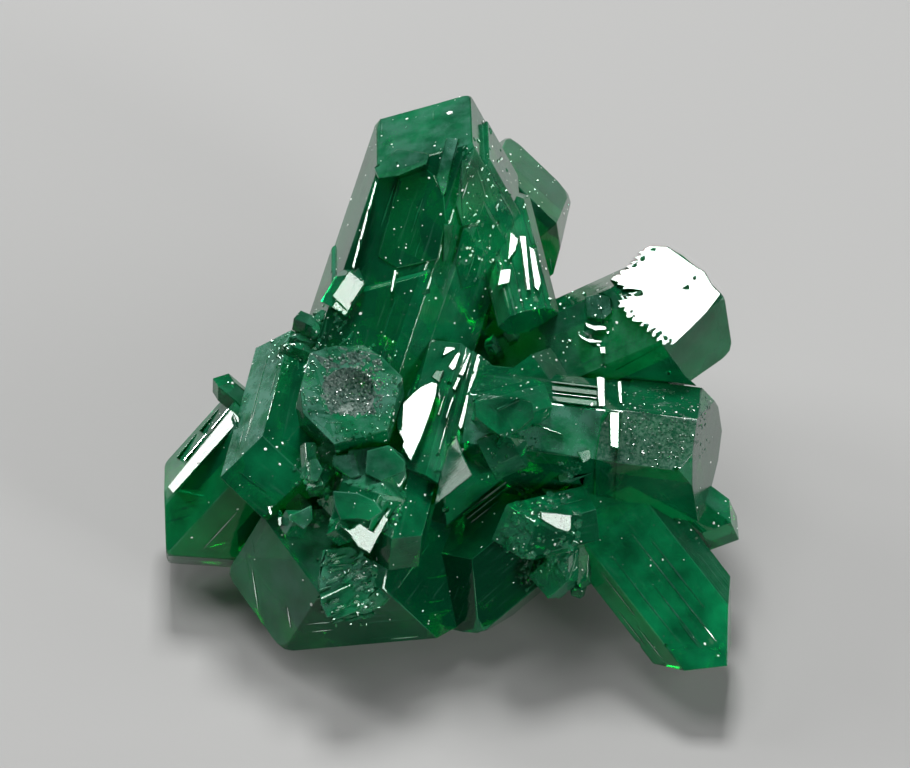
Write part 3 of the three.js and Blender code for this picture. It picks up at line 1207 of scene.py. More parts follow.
PATCHES = (
    GritPatch((-8.8, -3.0), (-3.2, 2.8), 190, (0.12, 0.4), 0.0, 1.0, 0.35),
    GritPatch((-7.6, -1.5), (-4.0, 2.3), 200, (0.14, 0.36), 1.0, 0.5, 0.5),
    GritPatch((10.5, -4.3), (15.6, 0.2), 240, (0.1, 0.28), 0.75, 0.5, 0.4),
    GritPatch((0.3, 6.5), (3.6, 15.8), 90, (0.15, 0.5), 0.0, 1.0, 0.4, 2.2, 60.0),
    GritPatch((-7.7, -13.9), (-4.6, -9.2), 90, (0.4, 1.1), 0.0, 1.0, 0.8, 3.0, 22.0),
    GritPatch((3.0, -10.2), (7.8, -5.8), 150, (0.2, 0.65), 0.0, 0.8, 0.3),
    GritPatch((-9.0, -8.2), (-2.6, -3.4), 46, (0.35, 0.9), 0.0, 1.0, 0.7),
    GritPatch((6.4, -5.5), (7.9, -4.3), 30, (0.12, 0.35), 0.0, 1.0, 0.9),
    GritPatch((4.2, -12.1), (7.1, -10.0), 50, (0.15, 0.45), 0.0, 1.0, 0.4),
    GritPatch((-8.2, 2.4), (-6.2, 5.2), 50, (0.12, 0.4), 0.0, 1.0, 0.6),
    GritPatch((-10.6, 0.6), (-8.6, 3.4), 40, (0.12, 0.4), 0.0, 1.0, 0.6),
    GritPatch((0.6, -0.6), (3.0, 2.4), 50, (0.12, 0.4), 0.0, 0.8, 0.4),
    GritPatch((2.4, -5.2), (5.4, -2.6), 50, (0.15, 0.5), 0.0, 0.5, 0.2),
    GritPatch((-9.4, -8.0), (-6.8, -3.6), 60, (0.15, 0.45), 0.0, 1.0, 0.7),
)

GLINTS = (
    GlintPatch((1.0, 7.5), (3.1, 15.3), 50, (0.08, 0.28), Lamp.RIGHT),
    GlintPatch((3.3, 8.4), (7.3, 15.0), 26, (0.06, 0.2), Lamp.OVERHEAD),
    GlintPatch((4.2, 2.5), (9.6, 5.9), 50, (0.06, 0.25), Lamp.OVERHEAD),
    GlintPatch((-11.0, 1.0), (-8.2, 3.7), 40, (0.08, 0.26), Lamp.OVERHEAD),
    GlintPatch((-9.0, -3.1), (-3.2, 2.9), 90, (0.05, 0.14), Lamp.OVERHEAD),
    GlintPatch((-9.0, -3.1), (-3.2, 2.9), 90, (0.05, 0.14), Lamp.RIGHT),
    GlintPatch((1.7, -12.6), (6.6, -4.8), 28, (0.05, 0.16), Lamp.RIGHT),
    GlintPatch((10.2, -4.8), (16.0, 0.4), 40, (0.05, 0.16), Lamp.OVERHEAD),
    GlintPatch((-8.0, -14.3), (-4.3, -9.3), 50, (0.08, 0.3), Lamp.FILL),
    GlintPatch((-8.0, -14.3), (-4.3, -9.3), 30, (0.08, 0.3), Lamp.RIGHT),
    GlintPatch((-9.0, -8.1), (-2.3, -3.0), 30, (0.06, 0.2), Lamp.RIGHT),
    GlintPatch((-17.1, -16.2), (17.1, 17.7), 80, (0.04, 0.13), Lamp.OVERHEAD),
)

CORNERS = (
    WornCorner((-4.2, 16.3), 1.9),
    WornCorner((1.2, 17.6), 0.5),
    WornCorner((13.2, 8.5), 1.0),
    WornCorner((16.3, 5.6), 0.5),
    WornCorner((16.9, 2.4), 0.9),
    WornCorner((-13.1, -10.8), 0.8),
    WornCorner((-9.8, -15.6), 0.8),
    WornCorner((-17.1, -4.8), 0.5),
    WornCorner((-17.1, -10.2), 0.6),
    WornCorner((3.3, 15.2), 0.9),
    WornCorner((7.1, 12.1), 1.4),
    WornCorner((1.5, -14.6), 1.1),
)


def plate_row(
    mirrors: Lamp | Heading | None,
    high_mm: float,
    tone: float,
    haze: float,
    *outlines: tuple[Place, ...],
    level: float = 1.0,
) -> tuple[FacePlate, ...]:
    """Plates that differ only in their outlines.

    Args:
        mirrors: What they mirror, as in FacePlate.
        high_mm: How far they stand off the face.
        tone: How lively their green is, from 0 to 1.
        haze: How dull they are, from 0 to 1.
        outlines: The outline of each.
        level: Where they lie over the body, as in FacePlate.

    Returns:
        The plates.
    """
    return tuple(FacePlate(outline, mirrors, high_mm, tone, haze, level) for outline in outlines)


# Crushed ground between the front crystals, and the larger facets on it; their bright tone and haze are
# painted light on ground in the front crystal's shade.
GROUND_STEPS = (
    *plate_row(
        (-0.35, -0.1, 0.93), 0.02, 1.0, 0.7,
        ((-8.64, -3.6), (-7.68, -3.36), (-6.36, -3.54), (-6.18, -4.8), (-6.72, -6.12), (-7.68, -6.6),
         (-8.76, -5.52)),
        level=0.55,
    ),
    *plate_row(
        (0.2, 0.1, 0.97), 0.02, 1.0, 0.7,
        ((-6.06, -3.6), (-4.68, -3.42), (-3.6, -3.36), (-2.76, -3.96), (-2.58, -5.28), (-3.24, -6.24),
         (-4.56, -5.88), (-5.64, -6.12), (-6.36, -5.04)),
        level=0.55,
    ),
    *plate_row(
        (-0.05, -0.2, 0.98), 0.02, 1.0, 0.6,
        ((-8.04, -6.6), (-6.72, -6.24), (-5.64, -6.0), (-4.32, -6.12), (-3.36, -6.6), (-3.96, -7.56),
         (-5.28, -8.04), (-6.96, -7.8)),
        level=0.55,
    ),
    *plate_row(
        (-0.1, 0.05, 0.99), 0.02, 1.0, 0.12,
        ((1.44, -0.72), (3.0, -0.42), (4.2, -0.54), (4.92, -0.72), (5.04, -1.68), (4.2, -2.4),
         (3.18, -2.88), (2.28, -2.28), (1.5, -1.62)),
    ),
    *plate_row(
        None, 0.03, 1.0, 0.8,
        ((-7.68, -9.6), (-6.0, -9.36), (-4.8, -10.2), (-4.56, -11.88), (-5.4, -13.2), (-6.84, -13.8),
         (-7.74, -12.96), (-7.92, -11.28)),
    ),
)

# Steps and bright facets of the tall crystal and its shoulder.
TALL_STEPS = (
    *plate_row(
        None, 0.12, 0.6, 0.4,
        ((-4.32, 12.69), (-3.09, 12.86), (-1.41, 13.57), (-1.24, 14.19), (-2.22, 14.36), (-3.18, 14.46),
         (-3.9, 13.86), (-4.59, 13.32)),
    ),
    *plate_row(
        None, 0.14, 0.2, 0.0,
        ((-3.09, 12.72), (-1.41, 13.26), (-0.97, 12.9), (-0.36, 11.64), (-0.26, 10.32), (-0.54, 8.72),
         (-0.72, 7.84), (-1.59, 7.66), (-3.18, 7.32), (-4.32, 8.01), (-3.72, 10.14)),
    ),
    *plate_row(
        Lamp.OVERHEAD, 0.03, 0.3, 0.0,
        ((-4.47, 12.72), (-4.29, 12.6), (-5.73, 7.26), (-5.91, 7.44)),
    ),
    *plate_row(
        (-0.4, 0.3, 0.87), 0.05, 0.8, 1.0,
        ((-0.24, 15.12), (0.54, 15.12), (0.12, 13.5), (-0.24, 11.88), (-0.48, 11.64), (-0.84, 12.72)),
    ),
    *plate_row(
        None, 0.22, 0.1, 0.5,
        ((-0.36, 9.96), (0.24, 9.96), (0.0, 8.52), (-0.18, 7.74), (-0.44, 7.74)),
    ),
    *plate_row(
        Lamp.OVERHEAD, 0.03, 0.3, 0.0,
        ((-3.39, 7.2), (-3.15, 7.14), (-3.42, 5.88), (-3.6, 6.0)),
    ),
    *plate_row(
        None, 0.12, 0.9, 0.1,
        ((0.72, 13.8), (1.68, 13.2), (2.16, 11.7), (1.68, 10.08), (0.72, 9.84), (0.36, 11.1)),
    ),
    *plate_row(
        None, 0.1, 0.7, 0.0,
        ((0.78, 9.72), (1.62, 9.84), (2.04, 8.4), (1.68, 6.3), (0.72, 6.0), (0.3, 7.68)),
    ),
    *plate_row(
        Lamp.RIGHT, 0.05, 0.5, 0.3,
        ((-6.04, 7.2), (-5.08, 6.42), (-6.18, 4.74), (-7.09, 5.64)),
    ),
    *plate_row(
        Lamp.OVERHEAD, 0.04, 0.5, 0.0,
        ((4.14, 9.24), (4.59, 9.24), (4.86, 6.06), (4.59, 6.0)),
        ((4.68, 8.72), (5.1, 8.46), (5.51, 6.42), (5.33, 5.94), (5.03, 6.24)),
        ((3.6, 9.6), (4.14, 9.06), (3.96, 8.36), (3.42, 7.66)),
        ((3.0, 7.22), (3.71, 7.32), (3.6, 6.42), (2.82, 6.24)),
        ((2.56, 5.54), (2.79, 5.19), (2.64, 4.22), (2.08, 3.51)),
    ),
)

# Facets of the ridged crystal in the middle.
SPINE_STEPS = (
    *plate_row(
        Lamp.OVERHEAD, 0.05, 0.4, 0.0,
        ((-3.19, -1.56), (-2.98, -0.94), (-2.22, -0.16), (-1.8, 0.19), (-1.14, 0.48), (-0.72, 0.37),
         (-0.79, -0.23), (-1.08, -1.2), (-1.64, -2.76), (-2.35, -4.32), (-2.88, -3.41), (-2.74, -3.12),
         (-3.16, -2.34)),
    ),
    *plate_row(
        Lamp.OVERHEAD, 0.06, 0.4, 0.0,
        ((-0.3, 2.64), (0.24, 2.58), (0.34, 2.42), (-0.51, 1.99)),
        ((0.34, 2.17), (0.69, 2.28), (0.41, 1.46), (0.16, 1.2), (-0.12, 1.46)),
        ((1.11, 2.24), (1.29, 2.17), (0.96, 1.2), (0.76, 0.9), (0.48, 0.94)),
    ),
    *plate_row(
        Lamp.OVERHEAD, 0.05, 0.4, 0.0,
        ((0.09, -0.42), (0.26, -0.51), (-0.16, -1.71), (-0.3, -1.64)),
        ((-0.42, -0.42), (-0.24, -0.3), (-0.6, -1.44), (-0.78, -1.5)),
        ((0.42, 0.78), (0.66, 0.66), (0.36, 0.0), (0.12, 0.12)),
    ),
    *plate_row(
        Lamp.CORNER, 0.08, 1.0, 0.6,
        ((-1.14, 0.78), (-0.86, 1.2), (-0.37, 1.2), (-0.66, 0.42)),
    ),
)

# Facets of the lower and left crystals.
LOWER_STEPS = (
    *plate_row(
        Lamp.RIGHT, 0.05, 0.5, 0.2,
        ((-6.75, -8.03), (-6.0, -8.38), (-5.42, -7.97), (-4.62, -8.49), (-4.04, -7.56), (-3.58, -7.05),
         (-3.52, -7.16), (-4.8, -9.82), (-5.54, -9.42), (-6.0, -8.72)),
    ),
    *plate_row(
        (-0.1, 0.25, 0.96), 0.08, 0.6, 0.9,
        ((-7.04, -3.99), (-5.71, -3.76), (-5.36, -5.15), (-6.0, -5.32), (-7.04, -4.56)),
    ),
    *plate_row(
        (0.25, 0.2, 0.95), 0.12, 0.7, 0.4,
        ((-4.98, -3.65), (-3.69, -3.3), (-2.65, -4.32), (-2.77, -4.92), (-4.15, -5.49), (-5.1, -5.03)),
    ),
    *plate_row(
        (-0.4, 0.3, 0.87), 0.08, 0.6, 0.7,
        ((-8.42, -4.2), (-7.98, -4.11), (-7.62, -4.8), (-7.98, -5.49), (-8.42, -5.38)),
    ),
    *plate_row(
        (-0.35, -0.1, 0.93), 0.05, 0.6, 1.0,
        ((-9.69, -6.42), (-9.0, -6.18), (-8.31, -6.88), (-8.25, -7.8), (-8.77, -8.38), (-9.64, -7.8),
         (-9.86, -7.11)),
    ),
    *plate_row(
        (0.1, 0.3, 0.95), 0.1, 1.0, 0.1,
        ((-7.04, -6.06), (-5.54, -6.18), (-4.5, -6.65), (-4.04, -7.32), (-4.86, -7.86), (-5.54, -7.74),
         (-6.58, -7.8), (-6.92, -6.99)),
    ),
    *plate_row(
        None, 0.15, 1.0, 1.0,
        ((-7.74, -12.88), (-6.48, -12.76), (-6.6, -13.32), (-7.38, -13.68)),
    ),
    *plate_row(
        Lamp.OVERHEAD, 0.03, 0.8, 0.0,
        ((4.98, -2.04), (5.16, -2.0), (6.78, -2.6), (6.78, -2.72), (5.16, -2.14), (4.98, -2.22)),
    ),
    *plate_row(
        Lamp.CORNER, 0.05, 0.8, 0.8,
        ((7.62, -3.72), (8.4, -3.54), (8.52, -4.08), (7.98, -4.44)),
    ),
    *plate_row(
        Lamp.FILL, 0.05, 0.9, 0.2,
        ((-7.2, -10.74), (-6.42, -10.59), (-6.42, -10.77), (-7.14, -10.92)),
    ),
    *plate_row(
        Lamp.RIGHT, 0.05, 0.9, 0.2,
        ((-7.74, -12.39), (-6.0, -11.61), (-5.97, -11.79), (-7.68, -12.6)),
    ),
    *plate_row(
        Lamp.FILL, 0.05, 0.9, 0.2,
        ((-7.86, -12.0), (-7.2, -11.73), (-7.17, -11.88), (-7.8, -12.18)),
        ((-7.14, -10.11), (-6.24, -9.84), (-6.24, -9.99), (-7.08, -10.29)),
    ),
    *plate_row(
        Lamp.OVERHEAD, 0.05, 0.5, 0.0,
        ((-10.98, -7.02), (-10.74, -6.96), (-10.62, -7.38), (-10.86, -7.5)),
    ),
    *plate_row(
        Lamp.RIGHT, 0.05, 0.5, 0.0,
        ((-10.38, -7.26), (-10.14, -7.2), (-10.02, -8.04), (-10.26, -8.16)),
    ),
    *plate_row(
        Lamp.RIGHT, 0.05, 0.4, 0.3,
        ((5.38, -7.25), (7.32, -7.48), (7.29, -8.28), (6.99, -8.52), (6.42, -8.34), (5.49, -7.8)),
    ),
    *plate_row(
        Lamp.CORNER, 0.05, 0.2, 0.4,
        ((0.42, -2.76), (0.78, -3.9), (1.38, -5.1), (-0.96, -6.96), (-0.54, -4.98), (-0.12, -3.36)),
    ),
    *plate_row(
        Lamp.OVERHEAD, 0.05, 0.8, 0.0,
        ((2.82, -1.11), (4.14, -0.48), (4.2, -0.63), (2.88, -1.29)),
    ),
    *plate_row(
        Lamp.FILL, 0.05, 0.0, 0.2,
        ((0.72, -7.38), (3.3, -5.46), (3.42, -5.61), (0.9, -7.56)),
        ((0.96, -7.68), (3.48, -5.7), (3.57, -5.82), (1.08, -7.8)),
        ((1.2, -7.89), (2.82, -6.6), (2.94, -6.72), (1.32, -8.01)),
    ),
    *plate_row(
        Lamp.STRIPE, 0.04, 0.5, 0.1,
        ((-16.98, -5.82), (-13.14, -1.14), (-12.72, -1.5), (-12.66, -1.86), (-16.62, -6.24)),
    ),
    *plate_row(
        Lamp.STRIPE, 0.02, 0.5, 0.1,
        ((-16.4, -4.11), (-15.2, -2.67), (-15.28, -2.61), (-16.48, -4.05)),
        ((-15.02, -2.49), (-13.88, -1.17), (-13.96, -1.11), (-15.1, -2.43)),
        ((-15.93, -4.22), (-14.61, -2.66), (-14.67, -2.62), (-15.99, -4.18)),
        ((-14.25, -2.3), (-13.29, -1.16), (-13.35, -1.12), (-14.31, -2.26)),
    ),
)

# Bars and the bright cap of the two crystals on the right.
RIGHT_STEPS = (
    *plate_row(
        Lamp.CORNER, 0.06, 0.5, 0.3,
        ((6.1, 0.6), (8.8, 0.3), (8.8, 0.09), (6.11, 0.39)),
        ((6.12, 0.31), (8.8, 0.01), (8.8, -0.35), (6.14, -0.05)),
        ((6.14, -0.12), (8.8, -0.42), (8.8, -0.53), (6.15, -0.23)),
        ((6.16, -0.31), (8.8, -0.61), (8.8, -1.0), (6.18, -0.7)),
    ),
    *plate_row(
        Lamp.OVERHEAD, 0.04, 0.3, 0.1,
        ((12.1, 8.65), (13.1, 8.6), (13.8, 8.1), (14.8, 7.4), (15.3, 7.1), (15.75, 6.3), (16.3, 5.75),
         (15.3, 4.5), (13.95, 3.2), (13.6, 2.92), (13.3, 2.7), (13.1, 2.88), (12.8, 2.7), (12.7, 3.05),
         (12.4, 2.92), (12.48, 3.3), (12.12, 3.2), (12.2, 3.6), (11.8, 3.48), (11.92, 3.85), (11.4, 3.85),
         (11.6, 4.12), (11.25, 4.1), (10.9, 4.15), (11.02, 4.4), (10.55, 4.35), (10.65, 4.65),
         (10.38, 4.75), (10.55, 4.98), (10.05, 4.98), (10.25, 5.2), (10.08, 5.4), (10.75, 5.5),
         (10.4, 5.68), (11.02, 5.62), (10.65, 5.85), (11.6, 5.98), (10.8, 6.04), (10.28, 6.02),
         (10.5, 6.25), (9.98, 6.3), (10.12, 6.48), (9.65, 6.64), (10.0, 6.92), (10.3, 6.88),
         (10.18, 7.12), (10.45, 7.2), (10.8, 7.28), (10.55, 7.42), (11.02, 7.55), (10.8, 7.72),
         (11.3, 7.82), (11.05, 8.0), (11.58, 8.1), (11.3, 8.28), (11.7, 8.35), (11.65, 8.48)),
    ),
    *plate_row(
        Lamp.OVERHEAD, 0.04, 0.4, 0.1,
        ((8.1, 4.1), (8.58, 3.9), (9.3, 3.9), (9.4, 3.6), (8.7, 3.54), (8.2, 3.78)),
        ((7.68, 3.42), (8.2, 3.12), (9.0, 3.06), (9.1, 2.82), (8.4, 2.82), (7.9, 3.06)),
        ((9.0, 2.58), (9.3, 2.58), (9.3, 2.22), (9.06, 2.22)),
    ),
    *plate_row(
        None, 0.12, 0.5, 1.0,
        ((8.1, 5.58), (8.88, 5.76), (9.6, 5.58), (9.72, 4.68), (9.18, 4.2), (8.22, 4.32)),
    ),
    *plate_row(
        None, 0.05, 1.0, 0.0,
        ((9.9, 1.2), (12.78, 2.7), (14.22, 0.78), (14.82, 0.24), (10.8, 0.78)),
    ),
    *plate_row(
        Lamp.OVERHEAD, 0.1, 0.5, 0.0,
        ((8.76, 0.84), (9.3, 0.8), (9.34, -0.96), (8.88, -0.96)),
        ((10.0, 0.5), (10.3, 0.5), (10.38, -0.76), (10.12, -0.76)),
        ((9.54, -1.3), (10.2, -1.3), (10.14, -3.54), (9.6, -3.4)),
    ),
)

# Small pits and chips on the bright cap, turned three ways in turn.
CAP_WAYS = ((-0.05, -0.2, 0.98), (0.2, 0.1, 0.97), (-0.35, -0.1, 0.93))
CAP_OUTLINES = (
    ((11.4, 7.95), (11.7, 8.1), (11.62, 7.75), (11.48, 7.78)),
    ((10.9, 7.45), (11.22, 7.55), (11.08, 7.38)),
    ((12.0, 8.45), (12.35, 8.55), (12.1, 8.35)),
    ((11.02, 5.75), (11.4, 5.98), (11.58, 5.94), (11.25, 5.62)),
    ((10.8, 4.75), (10.98, 4.8), (10.9, 4.64)),
    ((10.95, 4.52), (11.12, 4.48), (11.02, 4.4)),
    ((11.9, 3.6), (12.35, 3.75), (12.12, 3.38)),
    ((12.35, 3.42), (12.72, 3.58), (12.52, 3.2)),
    ((12.8, 3.3), (13.08, 3.2), (12.92, 2.98)),
    ((13.15, 3.1), (13.32, 3.05), (13.22, 2.76)),
    ((11.6, 4.0), (12.02, 3.95), (11.75, 3.75)),
    ((13.95, 6.15), (14.3, 6.32), (14.36, 6.15), (14.1, 6.04)),
    ((14.58, 6.8), (14.8, 6.92), (14.76, 6.6)),
)
CAP_MARKS = tuple(
    FacePlate(outline, CAP_WAYS[number % len(CAP_WAYS)], high_mm=0.02, tone=0.8, haze=0.2)
    for number, outline in enumerate(CAP_OUTLINES)
)

LAYERS = (GROUND_STEPS, TALL_STEPS + SPINE_STEPS + LOWER_STEPS + RIGHT_STEPS, CAP_MARKS)


def on_facet(place: Place) -> bool:
    """Whether a face-on place lies on a facet that mirrors a lamp."""
    spot = np.array(place)
    return any(plate.mirrors is not None and plate.covers(spot) for plate in LAYERS[1])


@dataclass
class CrystalCluster:
    """The grown-together crystals: one body with growth marks, chips, worn edges and dull or clear faces.

    Attributes:
        node: The CAD node that the body stands for.
        piece_name: The body's name.
        seed: Starts the run of random numbers.
        weld_mm: The solid's triangles share the points that are closer than this.
        same_mm: Slivers narrower than this are closed.
        flat_deg: Faces that meet at less than this are one.
        smooth_deg: Edges that turn less than this are shaded smooth.
        ridges: How many places are tried for a growth ridge.
        ridge_slant: Faces that lie flatter than this to the camera's view have no ridges.
        ridge_high_mm: The lowest and highest ridge.
        ridge_least_mm: The shortest and the narrowest ridge.
        ridge_slim: A ridge's width over its length, at most.
        ridge_share: The least and the most of a face's length that a ridge takes.
        ridge_wide_mm: The range of the ridges' largest widths.
        ridge_taper: A ridge's top over its foot, in length and width.
        glint_taper: The same for a tiny facet.
        lump_squash: A gritty lump's height over its length.
        base_mm: What lies lower than this is the base, and has no ridges.
        chips: How many chips the edges have.
        chip_mm: The smallest and largest chip.
        corner_mm: The wear of an ordinary corner.
        corner_reach_mm: How near a listed corner's place one of the body's has to be.
        size_slack: Marked sizes closer than this are the same.
        edge_mm: The wear of an edge.
        edge_turn_deg: How far an edge that wears turns.
        edge_length_mm: The shortest edge that wears.
        grit_mm2: The largest face that a gritty patch greys.
        glint_mm2: The largest face that counts as a tiny facet.
        parallel: Faces whose normals have a higher cosine than this are parallel.
        mirrored: A face that mirrors a lamp has a higher cosine than this to the half-way direction.
        level_mm: How far off a look's plane its faces may be.
        tones: The range of tones on faces that have no look of their own.
        hazy: The root of the most haze on such faces.
        facing: Faces of a gritty patch have a higher cosine than this to the camera's view.
        downward: Faces of the flat break have a normal whose height is lower than this.
        break_mm: Faces of the flat break lie lower than this.
        map_shift_mm: How far the growth map is shifted from plane to plane, at most.
        finish: The crystals' material.
    """

    node: str = "crystal_cluster"
    piece_name: str = "crystals"
    seed: int = 11
    weld_mm: float = 1e-6
    same_mm: float = 0.001
    flat_deg: float = 0.4
    smooth_deg: float = 16.0
    ridges: int = 420
    ridge_slant: float = 0.45
    ridge_high_mm: Place = (0.012, 0.04)
    ridge_least_mm: Place = (0.8, 0.06)
    ridge_slim: float = 0.12
    ridge_share: Place = (0.4, 0.95)
    ridge_wide_mm: Place = (0.08, 0.32)
    ridge_taper: Place = (0.96, 0.12)
    glint_taper: Place = (0.85, 0.85)
    lump_squash: float = 0.7
    base_mm: float = 0.05
    chips: int = 140
    chip_mm: Place = (0.15, 0.5)
    corner_mm: float = 0.3
    corner_reach_mm: float = 1.2
    size_slack: float = 1e-6
    edge_mm: float = 0.06
    edge_turn_deg: float = 20.0
    edge_length_mm: float = 0.5
    grit_mm2: float = 0.4
    glint_mm2: float = 0.1
    parallel: float = 0.999
    mirrored: float = 0.9998
    level_mm: float = 0.4
    tones: Place = (0.3, 1.0)
    hazy: float = 0.8
    facing: float = 0.25
    downward: float = -0.99
    break_mm: float = 0.1
    map_shift_mm: float = 50.0
    finish: CrystalFinish = field(default_factory=CrystalFinish)

    def build(self, lamps: dict[Lamp, Vector]) -> bpy.types.Object:
        """Copies the solid, marks and wears it, and dresses it.

        Args:
            lamps: The lamps' places.

        Returns:
            The body.
        """
        draw = random.Random(self.seed)
        body = self.copy_solid()
        self.round_corners(body)
        plain = FaceMap(body)
        looks = self.find_looks(plain)
        spots = plain.random_spots(draw, self.ridges)
        chips = self.edge_chips(body, draw)
        plates = self.grow_steps(body, plain, lamps)
        faces = FaceMap(body, plain)
        tools = [
            (self.growth_ridges(faces, spots, draw), Join.ADD),
            (self.grit_lumps(faces, draw), Join.ADD),
            (self.glint_facets(faces, lamps, draw), Join.ADD),
            (chips, Join.CUT),
        ]
        for shape, join in tools:
            shape.merge_into(body, join)
        self.tidy(body)
        self.wear_edges(body)
        self.mark_faces(body, faces, looks, plates, lamps, draw)
        only(body)
        bpy.ops.object.shade_smooth_by_angle(angle=math.radians(self.smooth_deg))
        flat = body.modifiers.new("flat_faces", "WEIGHTED_NORMAL")
        flat.keep_sharp = True
        bpy.ops.object.modifier_apply(modifier=flat.name)
        body.data.materials.clear()
        body.data.materials.append(self.finish.build(GrowthLines().build(), SurfaceDustAndSparkle().build()))
        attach(body, BODY)
        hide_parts(self.node)
        log.info("%s: %d faces", body.name, len(body.data.polygons))
        return body

    def copy_solid(self) -> bpy.types.Object:
        """Copies the CAD solid and merges its triangles into flat faces.

        Returns:
            The copy.
        """
        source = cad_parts[self.node]
        body = source.copy()
        body.data = source.data.copy()
        body.name = body.data.name = self.piece_name
        body.parent = None
        for key in list(body.keys()):
            del body[key]
        bpy.context.scene.collection.objects.link(body)
        only(body)
        bpy.ops.object.mode_set(mode="EDIT")
        bpy.ops.mesh.select_all(action="SELECT")
        bpy.ops.mesh.remove_doubles(threshold=self.weld_mm * MM)
        bpy.ops.object.mode_set(mode="OBJECT")
        self.tidy(body)
        return body

    def tidy(self, body: bpy.types.Object) -> None:
        """Removes slivers and joins what is flat.

        Args:
            body: The body.
        """
        only(body)
        bpy.ops.object.mode_set(mode="EDIT")
        bpy.ops.mesh.select_all(action="SELECT")
        bpy.ops.mesh.dissolve_degenerate(threshold=self.same_mm * MM)
        bpy.ops.mesh.dissolve_limited(angle_limit=math.radians(self.flat_deg))
        bpy.ops.object.mode_set(mode="OBJECT")

    def round_corners(self, body: bpy.types.Object) -> None:
        """Wears the corners where three or more sharp edges meet, some of them more than others.

        Args:
            body: The body.
        """
        edges_at: dict[int, int] = {}
        for edge in self.sharp_edges(body):
            for index in edge:
                edges_at[index] = edges_at.get(index, 0) + 1
        sizes: dict[float, set[int]] = {}
        for index in (index for index, count in edges_at.items() if count >= 3):
            place = Vector(FACE.seen(body.data.vertices[index].co))
            reach = self.corner_reach_mm
            near = [corner for corner in CORNERS if (place - Vector(corner.spot)).length < reach]
            size = near[0].size_mm if near else self.corner_mm
            sizes.setdefault(size, set()).add(index)
        marked = body.data.attributes.new("corner_size", "FLOAT", "POINT")
        for size, indices in sizes.items():
            for index in indices:
                marked.data[index].value = size
        for size in sizes:
            self.bevel_corners(body, size)
        body.data.attributes.remove(body.data.attributes["corner_size"])

    def bevel_corners(self, body: bpy.types.Object, size: float) -> None:
        """Bevels the corners that are marked with a size.

        Args:
            body: The body.
            size: The size, in millimetres.
        """
        only(body)
        bpy.ops.object.mode_set(mode="EDIT")
        bpy.ops.mesh.select_mode(type="VERT")
        bpy.ops.mesh.select_all(action="DESELECT")
        bpy.ops.object.mode_set(mode="OBJECT")
        marks = body.data.attributes["corner_size"].data
        for vertex in body.data.vertices:
            vertex.select = math.isclose(marks[vertex.index].value, size, abs_tol=self.size_slack)
        bpy.ops.object.mode_set(mode="EDIT")
        bpy.ops.mesh.bevel(offset=size * MM, segments=2, affect="VERTICES", clamp_overlap=True)
        bpy.ops.object.mode_set(mode="OBJECT")
        for mark in body.data.attributes["corner_size"].data:
            if math.isclose(mark.value, size, abs_tol=self.size_slack):
                mark.value = 0.0

    def find_looks(self, faces: FaceMap) -> list[tuple[FaceLookWithPaintedShading, Spot]]:
        """The looks whose spot is on the body, with that spot."""
        found = [(look, faces.spot_under(look.spot)) for look in LOOKS_WITH_PAINTED_SHADING]
        return [(look, spot) for look, spot in found if spot is not None]

    def grow_steps(
        self, body: bpy.types.Object, plain: FaceMap, lamps: dict[Lamp, Vector]
    ) -> list[tuple[FacePlate, Spot]]:
        """Adds the steps and bright facets that have an outline of their own.

        Args:
            body: The body.
            plain: The plain solid's faces.
            lamps: The lamps' places.

        Returns:
            Each step with its place and normal.
        """
        grown = []
        for layer in LAYERS:
            faces = FaceMap(body, plain)
            parts = [part for plate in layer for part in plate.parts(faces, lamps)]
            laid = [(plate, plate.lay(faces, lamps)) for plate in parts]
            found = [(plate, spot) for plate, spot in laid if spot is not None]
            solids = [plate.build(faces, spot) for plate, spot in found]
            for solid in solids:
                merge(body, solid, Join.ADD)
            grown += found
        return grown

    def growth_ridges(self, faces: FaceMap, spots: list[Spot], draw: random.Random) -> SmallShape:
        """Low ridges that lie along the growth.

        Args:
            faces: The body's faces.
            spots: Where they start, on the plain solid.
            draw: The run of random numbers.

        Returns:
            The ridge, with its places.
        """
        shape = SmallShape.ridge(self.ridge_taper)
        for start in spots:
            share = draw.uniform(*self.ridge_share)
            widest = draw.uniform(*self.ridge_wide_mm) * MM
            height = 2.0 * draw.uniform(*self.ridge_high_mm) * MM
            spot = faces.grown_over(start)
            if spot is None:
                continue
            ahead, back, left, right = faces.room(spot)
            length = 2.0 * min(ahead, back) * share
            width = min(left, right, length * self.ridge_slim, widest)
            slant = spot.normal.dot(-FACE.ray(FACE.seen(spot.point)))
            slanted = 0.0 < slant < self.ridge_slant
            bare = slanted or on_facet(FACE.seen(spot.point)) or spot.point.z < self.base_mm * MM
            shortest, narrowest = self.ridge_least_mm
            if length > shortest * MM and width > narrowest * MM and not bare:
                shape.place(spot.frame(length, width, height))
        return shape

    def grit_lumps(self, faces: FaceMap, draw: random.Random) -> SmallShape:
        """Lumps that roughen the gritty patches.

        Args:
            faces: The body's faces.
            draw: The run of random numbers.

        Returns:
            The lump, with its places.
        """
        shape = SmallShape.lump(self.lump_squash)
        for patch in PATCHES:
            patch.scatter(faces, shape, draw)
        return shape

    def glint_facets(self, faces: FaceMap, lamps: dict[Lamp, Vector], draw: random.Random) -> SmallShape:
        """Tiny facets that catch a lamp.

        Args:
            faces: The body's faces.
            lamps: The lamps' places.
            draw: The run of random numbers.

        Returns:
            The facet, with its places.
        """
        shape = SmallShape.ridge(self.glint_taper)
        for patch in GLINTS:
            patch.scatter(faces, shape, lamps[patch.catches], draw)
        return shape

